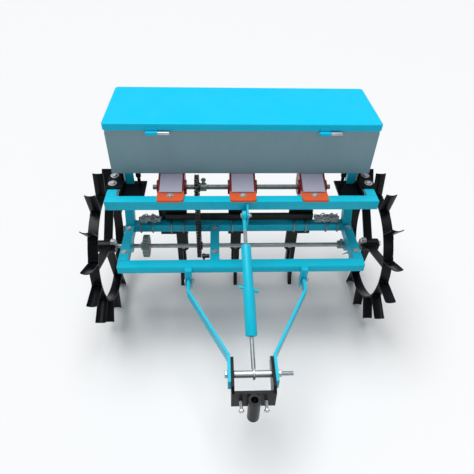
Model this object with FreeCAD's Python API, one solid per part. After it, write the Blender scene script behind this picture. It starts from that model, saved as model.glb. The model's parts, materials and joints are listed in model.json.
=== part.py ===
import FreeCAD, Part
import os
from math import sin, cos, tan, pi, radians, sqrt, atan2

# Three-row corn planter on two steel lug wheels, pulled by a drawbar.
# The model is laid out from the axle: x to the machine's side, y back, z up, y = 0 on the axle
# line, z = 0 on the ground under the wheels. The last section moves it to its own origin, the
# middle of its footprint on the ground.

V = FreeCAD.Vector
X_AXIS = V(1, 0, 0)
Y_AXIS = V(0, 1, 0)
Z_AXIS = V(0, 0, 1)

# ---- driving dimensions, millimetres -------------------------------------------------------
RUN_GAP = 0.05             # radial clearance of shafts in their bearings and bores
SEAT_GAP = 0.1             # gap under curved pieces that are bolted or riveted together
SIDE_GAP = 0.4             # gap between faces of pieces that move past each other

TUBE = 40.0                # square frame tube
TUBE_WALL = 3.0
CAP = 3.0                  # plate that closes a tube's end

# ground wheels
LUG_COUNT = 14
LUG_TIP_R = 354.0
RIM_R = 249.0
RIM_THICK = 6.0
RIM_WIDTH = 42.0
RIM_X = 608.0              # middle of the rim band from the machine's middle
LUG_WIDTH = 44.0
LUG_THICK = 4.0
LUG_SAG = 6.0              # depth of the arc across a lug
FOOT_THICK = 3.0
FOOT_SPREAD = 4.2          # degrees each side of the lug
RIVET_R = 4.5
RIVET_HIGH = 3.0
RIVET_SIDE = 12.0          # rivets each side of the rim's middle
RIVET_SPREAD = 0.72        # of the foot's half width
SPOKE_COUNT = 3
SPOKE_FIRST = 20.0         # degrees above the forward level
SPOKE_WIDTH = 40.0
SPOKE_THICK = 8.0
HUB_R = 28.0
HUB_LENGTH = 80.0
HUB_X = 611.0
HUB_BOLT_R = 6.0
HUB_BOLT_OUT = 30.0        # hub bolt inboard of the hub's middle
HUB_BOLT_HEAD = 8.0
END_NUT_R = 17.0
END_NUT_THICK = 9.0
SHAFT_END = 664.0

# lower frame
LOWER_HALF = 525.0         # half width over the side tubes
LOWER_FRONT = -206.0       # front face of the front bar
REAR_BAR_BACK = 100.0      # back face of the rear bar
SHAFT_DROP = 33.3          # axle below the underside of the lower frame
MIDDLE_X = -116.0          # middle tube, which carries the third bearing
BEARING_BOLT_REAR = 38.0
BEARING_BOLT_FRONT = -118.0
BEARING_R = 30.0
BEARING_WIDTH = 24.0
BEARING_PLATE = 10.0
BOLT_R = 6.0
HEAD_HIGH = 1.2            # bolt head and nut, times the bolt's radius
HEAD_R = 1.8               # over a head's corners, times the bolt's radius
WASHER_R = 2.3             # times the bolt's radius
BIG_WASHER_R = 3.0
WASHER_THICK = 3.0
BEARING_MARGIN = 15.0      # plate beyond the bearing bolts

# cross shaft and what it carries
SHAFT_R = 10.0
GEAR_X = -431.0
GEAR_R = 52.0
GEAR_WIDTH = 24.0
GEAR_TEETH = 24
GEAR_GROOVE = 3.0
SPROCKET_NOTCH = 2.0
COLLAR_R = 19.0
COLLAR_X = 462.0
COLLAR_WIDTH = 24.0
COLLAR_BOSS_HIGH = 8.0
COLLAR_BOSS_R = 6.0
SET_SCREW_HIGH = 4.0
SET_SCREW_R = 7.0
CHAIN_X = -188.0
CHAIN_PITCH = 15.875
CHAIN_HALF = 7.5           # half depth of a chain plate
CHAIN_WIDTH = 22.0
SPROCKET_WIDTH = 8.0
SPROCKET_HUB = 11.0
AXLE_TEETH = 20
METER_TEETH = 18
TENSIONER_BESIDE = 14.0    # tensioner bolt beside the chain
TENSIONER_LONG = 55.0
TENSIONER_BOLT_R = 5.0
TENSIONER_ROLLER_Y = 42.0
TENSIONER_ROLLER_R = 9.0
TENSIONER_ROLLER_END = 24.0

# upper frame
UPPER_HALF = 548.0
UPPER_FRONT = -110.0
UPPER_TOP = 684.0
ARM_BACK = 190.0           # back end of the side arms
UPRIGHT_FOOT_Y = 80.0      # middle of the upright where it stands on the rear bar
UPRIGHT_HEAD_Y = 168.0     # middle of the upright where it meets the arm

# seed meters
ROW_X = (-290.0, 0.0, 290.0)
METER_Z = 678.0            # metering shaft
METER_SHAFT_HALF = 368.0
FLANGE_THICK = 10.0
FLANGE_FRONT_HALF = 53.0
FLANGE_REAR_HALF = 53.0
FLANGE_REACH = 4.0         # flange past the front of the upper bar
FLANGE_REAR = -50.0
FLANGE_CORNER = 14.0
FLANGE_BOLT_Y = -82.0
METER_WALL = 9.0
METER_BOSS_R = 30.0
METER_BOSS_HALF = 60.0
METER_BACK = 72.0
METER_BOTTOM = 630.0
METER_TAPER = 30.0         # how far the housing's ends slope in to its bottom
SPOUT_Y = 24.0             # middle of the outlet spout
SPOUT_LONG = 14.0
SPOUT_WALL = 4.0
ROLLER_R = 26.0
ROLLER_HALF = 34.0
FLUTES = 10
FLUTE_R = 5.0
COVER_HALF = 45.5
COVER_THICK = 3.0
COVER_LAP = 14.0           # cover on the flange
COVER_EDGE = 7.0           # cover's depth under the hopper's front edge
CLAMP_X = -160.0
CLAMP_R = 17.0
CLAMP_WIDTH = 24.0
CLAMP_STEM_R = 6.0
CLAMP_STEM_HIGH = 14.0     # clamp bolt above the collar
CLAMP_HEAD_HIGH = 8.0
CLAMP_HEAD_R = 10.0

# hopper and lid
HOPPER_HALF = 531.0
HOPPER_FRONT = 28.0
HOPPER_BACK = 352.0
HOPPER_FLOOR = 727.0
HOPPER_TOP = 948.0
HOPPER_WALL = 3.0
FLOOR_BACK = 150.0         # where the level floor meets the sloping back
SLOPE_TOP = 850.0          # where the sloping back meets the upright back
OUTLET_HALF = 32.0
OUTLET_FRONT = 34.0
OUTLET_BACK = 62.0
LID_GAP = 4.0              # lid skirt outside the hopper walls
LID_SEAT = 0.4             # lid plate above the hopper's edge
LID_WALL = 3.0
LID_SKIRT = 28.0
LID_CORNER = 6.0
HINGE_R = 8.0
HINGE_PIN_R = 4.5
HINGE_BORE_DEEP = 30.0
HINGE_PIN_LONG = 29.0
HINGE_SLEEVE_R = 7.3
HINGE_LEAF = 4.5
HINGE_LIP = 2.5            # barrel's leaf where it is welded to the lid's lip
HINGE_Y = 15.0
HINGE_Z = 915.0
HINGE_LEFT = (-377.0, -328.0, -280.0)   # barrel start, joint, sleeve end
HINGE_RIGHT = (290.0, 337.0, 383.0)

# black brackets between the upper frame and the hopper
BRACKET_PLATE = 8.0
CHEEK_X = 488.0            # inboard face of the upright cheek
CHEEK_FRONT = 28.0
CHEEK_BACK = 110.0
SEAT_OUTER = 556.0
SEAT_FRONT = -24.0
SEAT_BACK = 92.0
BRACKET_BOLT_X = 532.0
BRACKET_BOLT_Y = (6.0, 62.0)
SHELF_INNER = 400.0
SHELF_Z = 660.0
SHELF_BACK = 60.0
HANGER_INNER = 449.0
HANGER_OUTER = 485.0
HANGER_Y = 36.0
HANGER_THICK = 6.0
ROD_X = 428.0
ROD_Y = 34.0
ROD_R = 7.0
ROD_KNOB_R = 12.0
ROD_KNOB_HIGH = 20.0

# openers
CLAMP_CENTRES = (-432.0, -290.0, -6.0, 285.0, 438.0)
CLAMP_SPANS = ((-470.0, -396.0), (-375.0, -245.0), (-52.0, 36.0), (232.0, 345.0), (400.0, 476.0))
CLAMP_LEGS = 27.5          # U-bolts each side of a clamp's middle
CLAMP_THICK = 8.0
CLAMP_LOW = (366.0, 330.0, 330.0, 330.0, 366.0)
CLAMP_HIGH = (432.0, 472.0, 472.0, 472.0, 432.0)
UBOLT_R = 4.0
UBOLT_TAIL = 5.0           # thread past the nut
NUT_R = 8.0
NUT_THICK = 7.0
OPENER_X = (-272.0, -15.0, 255.0)
KNIFE_X = (-288.0, -12.0, 278.0)
SHANK_HALF = 25.0
SHANK_THICK = 14.0
SHANK_TOP = 365.0
LOBE_PLUS = 3.0            # rounded foot wider than the shank, each side
LOBE_Z = 258.0             # middle of the shank's rounded foot
KNIFE_THICK = 18.0
KNIFE_TOP = 300.0
KNIFE_DEEP = 40.0
KNIFE_TIP_Y = 62.0
KNIFE_SWEEP = ((0.0, 150.0), (-6.0, 90.0), (-18.0, 40.0))   # front edge: forward, height
KNIFE_POINT = 22.0
KNIFE_HEEL = ((-16.0, 50.0), (0.0, 110.0))                  # back edge: forward, height
BOOT_HALF = 20.0
BOOT_DEEP = 36.0
BOOT_LOW = 70.0
BOOT_WALL = 3.0
TUBE_R = 14.0
TUBE_BORE = 11.5
TUBE_BEND_Z = 480.0
TUBE_BEND_R = 60.0
TUBE_LEAD = 26.0           # straight drop below the spout before the bend
TUBE_IN_BOOT = 12.0
TIE_THICK = 16.0
TIE_Z = 429.2
TIE_HIGH = 32.0
TIE_SHORT = 31.0           # tie bar stops short of the plate's outer edge
BUNDLE_ROUND = 8.5
BUNDLE_LEFT = (-456.0, -346.0)
BUNDLE_RIGHT = (350.0, 480.0)
BUNDLE_HIGH = 40.0
BUNDLE_DEEP = 34.0

# drawbar and hitch
HITCH_X = 18.0
CLIP_SPREAD = 245.0        # clips each side of the hitch line
CLIP_HALF = 14.0
CLIP_PLATE = 5.0
CLIP_DEEP = 26.0
CLIP_LOW = 306.0
CLIP_WEB_LOW = 372.0
PIVOT_Y = -219.0
PIVOT_Z = 344.0
ARM_THICK = 11.0
ARM_HIGH = 50.0
ARM_TAIL = 12.0            # arm behind its pivot bolt
ARM_BEND_REAR = -290.0
ARM_BEND_FRONT = -600.0
ARM_END = -708.0
HITCH_BOLT_Y = -665.0
HITCH_BOLT_Z = 342.0
HITCH_BOLT_R = 8.0
EAR_INNER = 67.0           # inner face of a clevis ear from the hitch line
EAR_THICK = 11.0
EAR_REAR = -600.0
EAR_LOW = 300.0
EAR_HIGH = 366.0
EAR_HEEL = 20.0            # rear lower corner cut
EAR_TIP = 16.0             # tapered top at the rear
EAR_TIP_DROP = 12.0
EAR_NOSE = 10.0            # ear behind the cross plate's back face
PLATE_BACK = -733.0        # back face of the cross plate
PLATE_THICK = 12.0
PLATE_LOW = 266.0
PLATE_HIGH = 352.0
PIN_TUBE_R = 22.0
PIN_BORE_R = 12.5
PIN_TUBE_LOW = 232.0
SLEEVE_R = 13.0
HITCH_NUT_THICK = 13.0
HITCH_THREAD_END = 145.0
HITCH_HEAD_THICK = 11.0
HITCH_HEAD_R = 15.0
PIVOT_TAIL = 12.0
PIVOT_HEAD_THICK = 6.0
ADJUST_SPREAD = 44.0
ADJUST_Z = 300.0
ADJUST_R = 6.0
ADJUST_OUT = 31.0
ADJUST_IN = 8.0            # screw behind the cross plate
ADJUST_HEAD_THICK = 7.0
ADJUST_HEAD_R = 10.8

# top link
LINK_TOP = V(3.0, -135.0, 634.0)
LINK_END = V(22.0, HITCH_BOLT_Y, HITCH_BOLT_Z)
LINK_ROD_R = 8.0
EYE_R = 21.0
EYE_THICK = 8.0            # lower eye, round the hitch sleeve
LINK_SIDE_GAP = 1.5        # beside the upper eye
EYE_GAP = 1.2              # the open pivot of the link round the hitch sleeve
BARREL_START = 125.0
BARREL_STEP = 300.0
BARREL_END = 475.0
BARREL_R = 19.5
BARREL_LOW_R = 22.0
BARREL_BORE_R = 8.4
BARREL_INNER_R = 15.0
BARREL_NUT = 30.0          # length of the threaded nut in each end of the barrel
ROD_IN_BARREL = 90.0
HANDLE_R = 6.0
HANDLE_OUT = 40.0
HANDLE_TILT = 0.27
LUG_PLATE = 8.0
LINK_BOLT_R = 6.0
LINK_HEAD_THICK = 8.0
LINK_HEAD_R = 11.0
LINK_TAIL = 14.0
LINK_LUG = ((6.0, 44.0), (-14.0, 44.0), (-18.0, 20.0))   # lug's lower edge: back, below the bolt
LINK_LUG_RISE = 14.0
LINK_LUG_TOP = 6.0

# ---- places worked out from the driving dimensions -------------------------------------------
LUG_PITCH = 360.0 / LUG_COUNT
LUG_ARC_R = (LUG_WIDTH * LUG_WIDTH / 4 + LUG_SAG * LUG_SAG) / (2 * LUG_SAG)
LUG_INNER_R = LUG_ARC_R - LUG_THICK
LUG_ARC_DROP = LUG_ARC_R - (LUG_SAG + LUG_THICK) / 2
LUG_EDGE = LUG_ARC_DROP - sqrt(LUG_INNER_R * LUG_INNER_R - LUG_WIDTH * LUG_WIDTH / 4)
AXLE_Z = LUG_TIP_R * cos(radians(LUG_PITCH / 2)) + LUG_EDGE * sin(radians(LUG_PITCH / 2))
LOWER_UNDER = AXLE_Z + SHAFT_DROP
LOWER_TOP = LOWER_UNDER + TUBE
FRONT_BAR_BACK = LOWER_FRONT + TUBE
REAR_BAR_FRONT = REAR_BAR_BACK - TUBE
SIDE_X = LOWER_HALF - TUBE / 2
UPPER_UNDER = UPPER_TOP - TUBE
UPPER_BACK = UPPER_FRONT + TUBE
ARM_X = UPPER_HALF - TUBE / 2
FLANGE_FRONT = UPPER_FRONT - FLANGE_REACH
FLANGE_TOP = UPPER_TOP + FLANGE_THICK
LID_TOP = HOPPER_TOP + LID_SEAT + LID_WALL
LID_HALF = HOPPER_HALF + LID_GAP + LID_WALL
LID_FRONT = HOPPER_FRONT - LID_GAP - LID_WALL
LID_BACK = HOPPER_BACK + LID_GAP + LID_WALL
TUBE_Y = REAR_BAR_BACK + KNIFE_DEEP + BOOT_DEEP / 2
AXLE_SPROCKET_R = CHAIN_PITCH / 2 / sin(pi / AXLE_TEETH)
METER_SPROCKET_R = CHAIN_PITCH / 2 / sin(pi / METER_TEETH)
EAR_OUTER = EAR_INNER + EAR_THICK
ARM_INNER = EAR_OUTER + SIDE_GAP
LINK_DIR = (LINK_END - LINK_TOP).normalize()
LINK_LENGTH = (LINK_END - LINK_TOP).Length
PIN_TUBE_Y = PLATE_BACK - PLATE_THICK - PIN_TUBE_R
FRONTMOST = PIN_TUBE_Y - PIN_TUBE_R
ORIGIN_SHIFT = V(0, -(FRONTMOST + LID_BACK) / 2, 0)


# ---- small shape helpers ---------------------------------------------------------------------
def box(x0, x1, y0, y1, z0, z1):
    """A block between two corners."""
    return Part.makeBox(x1 - x0, y1 - y0, z1 - z0, V(x0, y0, z0))


def rod(start, end, radius):
    """A round bar from one point to another."""
    run = end - start
    return Part.makeCylinder(radius, run.Length, start, run)


def round_x(x0, x1, y, z, radius):
    """A round bar across the machine."""
    return rod(V(x0, y, z), V(x1, y, z), radius)


def upright_bar(x, y, z0, z1, radius):
    """A round bar standing up."""
    return rod(V(x, y, z0), V(x, y, z1), radius)


def hexagon(centre, direction, thick, radius):
    """A hexagon head or nut whose corners lie on the radius."""
    points = [V(radius * cos(k * pi / 3), radius * sin(k * pi / 3), 0) for k in range(7)]
    head = Part.Face(Part.makePolygon(points)).extrude(V(0, 0, thick))
    head.Placement = FreeCAD.Placement(centre, FreeCAD.Rotation(Z_AXIS, direction))
    return head


def side_plate(x0, x1, outline):
    """A plate seen from the side: an outline of (y, z) points, given its thickness across."""
    points = [V(x0, y, z) for y, z in outline]
    return Part.Face(Part.makePolygon(points + points[:1])).extrude(V(x1 - x0, 0, 0))


def level_plate(z0, z1, outline):
    """A plate seen from above: an outline of (x, y) points, given its thickness upwards."""
    points = [V(x, y, z0) for x, y in outline]
    return Part.Face(Part.makePolygon(points + points[:1])).extrude(V(0, 0, z1 - z0))


def joined(*shapes):
    """Several shapes welded into one solid."""
    whole = shapes[0].multiFuse(list(shapes[1:])).removeSplitter()
    return whole.Solids[0] if len(whole.Solids) == 1 else whole


def turned(shape, angle, y=0.0, z=0.0):
    """A copy turned about a line across the machine. A positive angle lifts the front."""
    copy = shape.copy()
    copy.rotate(V(0, y, z), X_AXIS, -angle)
    return copy


def mirrored(shape):
    """The same piece on the other side of the machine."""
    return shape.mirror(V(0, 0, 0), X_AXIS)


def both(shape):
    """A piece and its mirror image."""
    return [shape, mirrored(shape)]


def bar_x(x0, x1, y0, z0):
    """A square tube across the machine, with a plate closing each end."""
    tube = box(x0 + CAP, x1 - CAP, y0, y0 + TUBE, z0, z0 + TUBE)
    inner = (y0 + TUBE_WALL, y0 + TUBE - TUBE_WALL, z0 + TUBE_WALL, z0 + TUBE - TUBE_WALL)
    hollow = tube.cut(box(x0, x1, *inner))
    caps = [box(x, x + CAP, y0, y0 + TUBE, z0, z0 + TUBE) for x in (x0, x1 - CAP)]
    return hollow, caps


def bar_y(x0, y0, y1, z0):
    """A square tube running back along the machine."""
    tube = box(x0, x0 + TUBE, y0, y1, z0, z0 + TUBE)
    inner = box(x0 + TUBE_WALL, x0 + TUBE - TUBE_WALL, y0, y1, z0 + TUBE_WALL, z0 + TUBE - TUBE_WALL)
    return tube.cut(inner)


# ---- lower frame -----------------------------------------------------------------------------
def bearing_places():
    """The three bearings: under each side tube and under the middle tube."""
    return (-SIDE_X, MIDDLE_X, SIDE_X)


def bearing_bolt_holes():
    """Clearance holes for the bearing bolts through the tubes and the bearing plates."""
    holes = []
    for x in bearing_places():
        for y in (BEARING_BOLT_FRONT, BEARING_BOLT_REAR):
            holes.append(upright_bar(x, y, 0, LOWER_TOP + TUBE, BOLT_R + RUN_GAP))
    return Part.makeCompound(holes)


def lower_front_bar():
    tube, caps = bar_x(-LOWER_HALF, LOWER_HALF, LOWER_FRONT, LOWER_UNDER)
    return [tube] + caps


def lower_rear_bar():
    tube, caps = bar_x(-LOWER_HALF, LOWER_HALF, REAR_BAR_FRONT, LOWER_UNDER)
    return [tube] + caps


def lower_side_tubes():
    left = bar_y(-LOWER_HALF, FRONT_BAR_BACK, REAR_BAR_FRONT, LOWER_UNDER).cut(bearing_bolt_holes())
    return both(left)


def middle_tube():
    tube = bar_y(MIDDLE_X - TUBE / 2, FRONT_BAR_BACK, REAR_BAR_FRONT, LOWER_UNDER)
    return [tube.cut(bearing_bolt_holes())]


def shaft_bearings():
    """Plates bolted under the tubes, each with a bearing ring round the cross shaft."""
    bearings = []
    for x in bearing_places():
        low = LOWER_UNDER - BEARING_PLATE
        front = BEARING_BOLT_FRONT - BEARING_MARGIN
        back = BEARING_BOLT_REAR + BEARING_MARGIN
        plate = box(x - TUBE / 2 + CAP, x + TUBE / 2 - CAP, front, back, low, LOWER_UNDER)
        ring = round_x(x - BEARING_WIDTH / 2, x + BEARING_WIDTH / 2, 0, AXLE_Z, BEARING_R)
        bore = round_x(x - TUBE, x + TUBE, 0, AXLE_Z, SHAFT_R + RUN_GAP)
        above = box(x - TUBE, x + TUBE, front, back, LOWER_UNDER, LOWER_TOP)
        bearings.append(joined(plate, ring).cut(bore).cut(above).cut(bearing_bolt_holes()))
    return bearings


def hex_bolt(x, y, top, length, radius):
    """A hexagon bolt with a washer, its shank going down from the face it clamps."""
    washer = upright_bar(x, y, top, top + radius / 3, WASHER_R * radius)
    head = hexagon(V(x, y, top), Z_AXIS, HEAD_HIGH * radius, HEAD_R * radius)
    shank = upright_bar(x, y, top - length, top, radius)
    nut = hexagon(V(x, y, top - length), Z_AXIS, HEAD_HIGH * radius, HEAD_R * radius)
    return washer, head, shank, nut


def frame_bolts():
    """Bolts through the tubes that hold the bearings, with washers above and nuts below."""
    bolts = []
    nut_space = HEAD_HIGH * BOLT_R
    for x in bearing_places():
        for y in (BEARING_BOLT_FRONT, BEARING_BOLT_REAR):
            length = TUBE + BEARING_PLATE + nut_space
            bolts.append(joined(*hex_bolt(x, y, LOWER_TOP, length, BOLT_R)))
    return bolts


# ---- ground wheels ---------------------------------------------------------------------------
def wheel_point(radius, angle):
    """The (y, z) place on a wheel at an angle above the forward level."""
    return -radius * cos(radians(angle)), AXLE_Z + radius * sin(radians(angle))


def wheel_rim():
    """A rolled flat band with three flat spokes welded in, open round the hub."""
    x0 = RIM_X - RIM_WIDTH / 2
    x1 = RIM_X + RIM_WIDTH / 2
    band = round_x(x0, x1, 0, AXLE_Z, RIM_R).cut(round_x(x0, x1, 0, AXLE_Z, RIM_R - RIM_THICK))
    spokes = []
    for k in range(SPOKE_COUNT):
        reach = RIM_R - RIM_THICK / 2
        flat = box(RIM_X - SPOKE_WIDTH / 2, RIM_X + SPOKE_WIDTH / 2, -reach, -HUB_R / 2,
                   AXLE_Z - SPOKE_THICK / 2, AXLE_Z + SPOKE_THICK / 2)
        spokes.append(turned(flat, SPOKE_FIRST + k * 360.0 / SPOKE_COUNT, 0, AXLE_Z))
    hub_space = round_x(0, SHAFT_END, 0, AXLE_Z, HUB_R + SEAT_GAP)
    return joined(band, *[spoke.cut(hub_space) for spoke in spokes])


def wheel_hub():
    """The hub sleeve on the shaft's end, with a hole for its clamping bolt."""
    x0 = HUB_X - HUB_LENGTH / 2
    x1 = HUB_X + HUB_LENGTH / 2
    hub = round_x(x0, x1, 0, AXLE_Z, HUB_R).cut(round_x(x0, x1, 0, AXLE_Z, SHAFT_R + RUN_GAP))
    hole_x = HUB_X - HUB_BOLT_OUT
    return hub.cut(upright_bar(hole_x, 0, AXLE_Z, AXLE_Z + 2 * HUB_R, HUB_BOLT_R + RUN_GAP))


def wheel_lug():
    """One lug, pointing forward: a foot riveted on the band and a blade with an arc across it."""
    span = LUG_WIDTH / 2
    seat = RIM_R + SEAT_GAP
    centre_z = AXLE_Z + LUG_ARC_DROP
    outer = rod(V(RIM_X, -LUG_TIP_R, centre_z), V(RIM_X, -RIM_R, centre_z), LUG_ARC_R)
    inner = rod(V(RIM_X, -LUG_TIP_R, centre_z), V(RIM_X, -RIM_R, centre_z), LUG_INNER_R)
    keep = box(RIM_X - span, RIM_X + span, -LUG_TIP_R, -RIM_R, AXLE_Z - LUG_ARC_R, AXLE_Z + LUG_ARC_DROP)
    blade = outer.cut(inner).common(keep)
    x0 = RIM_X - RIM_WIDTH / 2
    x1 = RIM_X + RIM_WIDTH / 2
    ring = round_x(x0, x1, 0, AXLE_Z, RIM_R + FOOT_THICK).cut(round_x(x0, x1, 0, AXLE_Z, seat))
    reach = (RIM_R + FOOT_THICK) * sin(radians(FOOT_SPREAD))
    foot = ring.common(box(x0, x1, -2 * RIM_R, 0, AXLE_Z - reach, AXLE_Z + reach))
    return joined(foot, blade.cut(round_x(x0 - span, x1 + span, 0, AXLE_Z, seat)))


def lug_angles():
    """Lugs evenly round the wheel, with two standing on the ground."""
    return [-90.0 + LUG_PITCH * (k + 0.5) for k in range(LUG_COUNT)]


def wheel_lugs():
    first = wheel_lug()
    return [turned(first, angle, 0, AXLE_Z) for angle in lug_angles()]


def lug_rivets():
    """Domed rivet heads on both sides of every lug's foot, on both wheels."""
    heads = []
    base = RIM_R + FOOT_THICK
    for side in (-RIVET_SIDE, RIVET_SIDE):
        start = V(RIM_X + side, -base, AXLE_Z)
        heads.append(rod(start, start - V(0, RIVET_HIGH, 0), RIVET_R))
    rivets = []
    for angle in lug_angles():
        for tilt in (-FOOT_SPREAD * RIVET_SPREAD, FOOT_SPREAD * RIVET_SPREAD):
            for head in heads:
                rivets += both(turned(head, angle + tilt, 0, AXLE_Z))
    return rivets


def hub_bolts():
    """The clamping bolt on top of each hub and the nut on each end of the shaft."""
    x = HUB_X - HUB_BOLT_OUT
    bolt = joined(upright_bar(x, 0, AXLE_Z + SHAFT_R + 1, AXLE_Z + HUB_R, HUB_BOLT_R),
                  hexagon(V(x, 0, AXLE_Z + HUB_R), Z_AXIS, HUB_BOLT_HEAD, HEAD_R * HUB_BOLT_R))
    hub_end = HUB_X + HUB_LENGTH / 2
    nut = hexagon(V(hub_end, 0, AXLE_Z), X_AXIS, END_NUT_THICK, END_NUT_R)
    nut = nut.cut(round_x(hub_end, SHAFT_END, 0, AXLE_Z, SHAFT_R + RUN_GAP))
    return both(bolt) + both(nut)


# ---- cross shaft -----------------------------------------------------------------------------
def cross_shaft():
    return [round_x(-SHAFT_END, SHAFT_END, 0, AXLE_Z, SHAFT_R)]


def toothed_wheel(x, width, radius, teeth, y, z, depth, bore):
    """A wheel with round-bottomed notches between its teeth and a bore for its shaft."""
    x0 = x - width / 2
    x1 = x + width / 2
    disc = round_x(x0, x1, y, z, radius)
    notches = []
    for k in range(teeth):
        angle = 2 * pi * (k + 0.5) / teeth
        notches.append(round_x(x0, x1, y + radius * cos(angle), z + radius * sin(angle), depth))
    return disc.cut(Part.makeCompound(notches)).cut(round_x(x0, x1, y, z, bore))


def gear_wheel():
    """The grooved wheel near the left bearing, with its hub."""
    bore = SHAFT_R + RUN_GAP
    wheel = toothed_wheel(GEAR_X, GEAR_WIDTH, GEAR_R, GEAR_TEETH, 0, AXLE_Z, GEAR_GROOVE, bore)
    hub_end = GEAR_X - GEAR_WIDTH / 2
    hub = round_x(hub_end - GEAR_WIDTH / 2, hub_end, 0, AXLE_Z, COLLAR_R)
    return [joined(wheel, hub.cut(round_x(hub_end - GEAR_WIDTH, hub_end, 0, AXLE_Z, bore)))]


def shaft_collar():
    """The set-screw collar beside the right bearing."""
    x0 = COLLAR_X
    x1 = COLLAR_X + COLLAR_WIDTH
    collar = round_x(x0, x1, 0, AXLE_Z, COLLAR_R)
    middle = (x0 + x1) / 2
    boss_top = AXLE_Z + COLLAR_R + COLLAR_BOSS_HIGH
    boss = upright_bar(middle, 0, AXLE_Z, boss_top, COLLAR_BOSS_R)
    screw = hexagon(V(middle, 0, boss_top), Z_AXIS, SET_SCREW_HIGH, SET_SCREW_R)
    whole = joined(collar, boss, screw)
    return [whole.cut(round_x(x0, x1, 0, AXLE_Z, SHAFT_R + RUN_GAP))]


def sprocket(x, z, pitch_r, teeth):
    """A sprocket that fills the chain's loop, with its hub to one side."""
    radius = pitch_r - CHAIN_HALF - SIDE_GAP
    bore = SHAFT_R + RUN_GAP
    plate = toothed_wheel(x, SPROCKET_WIDTH, radius, teeth, 0, z, SPROCKET_NOTCH, bore)
    hub_start = x + SPROCKET_WIDTH / 2
    hub_end = hub_start + SPROCKET_HUB
    hub = round_x(hub_start, hub_end, 0, z, COLLAR_R)
    return joined(plate, hub.cut(round_x(hub_start, hub_end, 0, z, bore)))


def lower_sprocket():
    return [sprocket(CHAIN_X, AXLE_Z, AXLE_SPROCKET_R, AXLE_TEETH)]


def upper_sprocket():
    return [sprocket(CHAIN_X, METER_Z, METER_SPROCKET_R, METER_TEETH)]


def loop_solid(offset):
    """The space inside a belt that runs round both sprockets, its radii changed by the offset."""
    x0 = CHAIN_X - CHAIN_WIDTH / 2
    low_r = AXLE_SPROCKET_R + offset
    high_r = METER_SPROCKET_R + offset
    rise = METER_Z - AXLE_Z
    lean = (low_r - high_r) / rise
    out = sqrt(1 - lean * lean)
    corners = []
    for side, centre_z, radius in ((-1, AXLE_Z, low_r), (-1, METER_Z, high_r),
                                   (1, METER_Z, high_r), (1, AXLE_Z, low_r)):
        corners.append((side * radius * out, centre_z + radius * lean))
    web = side_plate(x0, x0 + CHAIN_WIDTH, corners)
    ends = [round_x(x0, x0 + CHAIN_WIDTH, 0, z, r) for z, r in ((AXLE_Z, low_r), (METER_Z, high_r))]
    return joined(web, *ends)


def drive_chain():
    """The roller chain as one closed loop."""
    return [loop_solid(CHAIN_HALF).cut(loop_solid(-CHAIN_HALF))]


def chain_tensioner():
    """A bolt from the front bar with a small roller that bears beside the chain."""
    x = CHAIN_X + CHAIN_WIDTH / 2 + TENSIONER_BESIDE
    z = LOWER_UNDER + TUBE / 2
    stem = rod(V(x, FRONT_BAR_BACK, z), V(x, FRONT_BAR_BACK + TENSIONER_LONG, z), TENSIONER_BOLT_R)
    roller = round_x(x - TENSIONER_ROLLER_R, x + TENSIONER_ROLLER_END,
                     FRONT_BAR_BACK + TENSIONER_ROLLER_Y, z, TENSIONER_ROLLER_R)
    return [joined(stem, roller)]


# ---- upper frame -----------------------------------------------------------------------------
def meter_bolt_holes():
    holes = [upright_bar(x, FLANGE_BOLT_Y, UPPER_UNDER - TUBE, UPPER_TOP + TUBE, BOLT_R + RUN_GAP)
             for x in ROW_X]
    return Part.makeCompound(holes)


def bracket_bolt_holes():
    holes = []
    for y in BRACKET_BOLT_Y:
        holes += both(upright_bar(BRACKET_BOLT_X, y, UPPER_UNDER - TUBE, UPPER_TOP + TUBE,
                                  BOLT_R + RUN_GAP))
    return Part.makeCompound(holes)


def upper_front_bar():
    tube, caps = bar_x(-UPPER_HALF, UPPER_HALF, UPPER_FRONT, UPPER_UNDER)
    return [tube.cut(meter_bolt_holes())] + caps


def upper_side_arms():
    """Tubes running back from the front bar to the uprights, closed behind."""
    arm = bar_y(ARM_X - TUBE / 2, UPPER_BACK, ARM_BACK - CAP, UPPER_UNDER).cut(bracket_bolt_holes())
    cap = box(ARM_X - TUBE / 2, ARM_X + TUBE / 2, ARM_BACK - CAP, ARM_BACK, UPPER_UNDER, UPPER_TOP)
    return both(arm) + both(cap)


def uprights():
    """Square tubes that stand on the rear bar and lean back to the arms."""
    half = TUBE / 2
    foot = [(UPRIGHT_FOOT_Y - half, LOWER_TOP), (UPRIGHT_FOOT_Y + half, LOWER_TOP)]
    head = [(UPRIGHT_HEAD_Y + half, UPPER_UNDER), (UPRIGHT_HEAD_Y - half, UPPER_UNDER)]
    outer = side_plate(SIDE_X - half, SIDE_X + half, foot + head)
    inset = TUBE_WALL
    foot_in = [(UPRIGHT_FOOT_Y - half + inset, LOWER_TOP), (UPRIGHT_FOOT_Y + half - inset, LOWER_TOP)]
    head_in = [(UPRIGHT_HEAD_Y + half - inset, UPPER_UNDER), (UPRIGHT_HEAD_Y - half + inset, UPPER_UNDER)]
    inner = side_plate(SIDE_X - half + inset, SIDE_X + half - inset, foot_in + head_in)
    return both(outer.cut(inner))


# ---- seed meters -----------------------------------------------------------------------------
def cover_under():
    """The cover's underside: level on the flange, then sloping up to the hopper's front edge."""
    return [(FLANGE_REAR - COVER_LAP, FLANGE_TOP), (FLANGE_REAR, FLANGE_TOP),
            (HOPPER_FRONT - SIDE_GAP, HOPPER_FLOOR - COVER_EDGE)]


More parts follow.
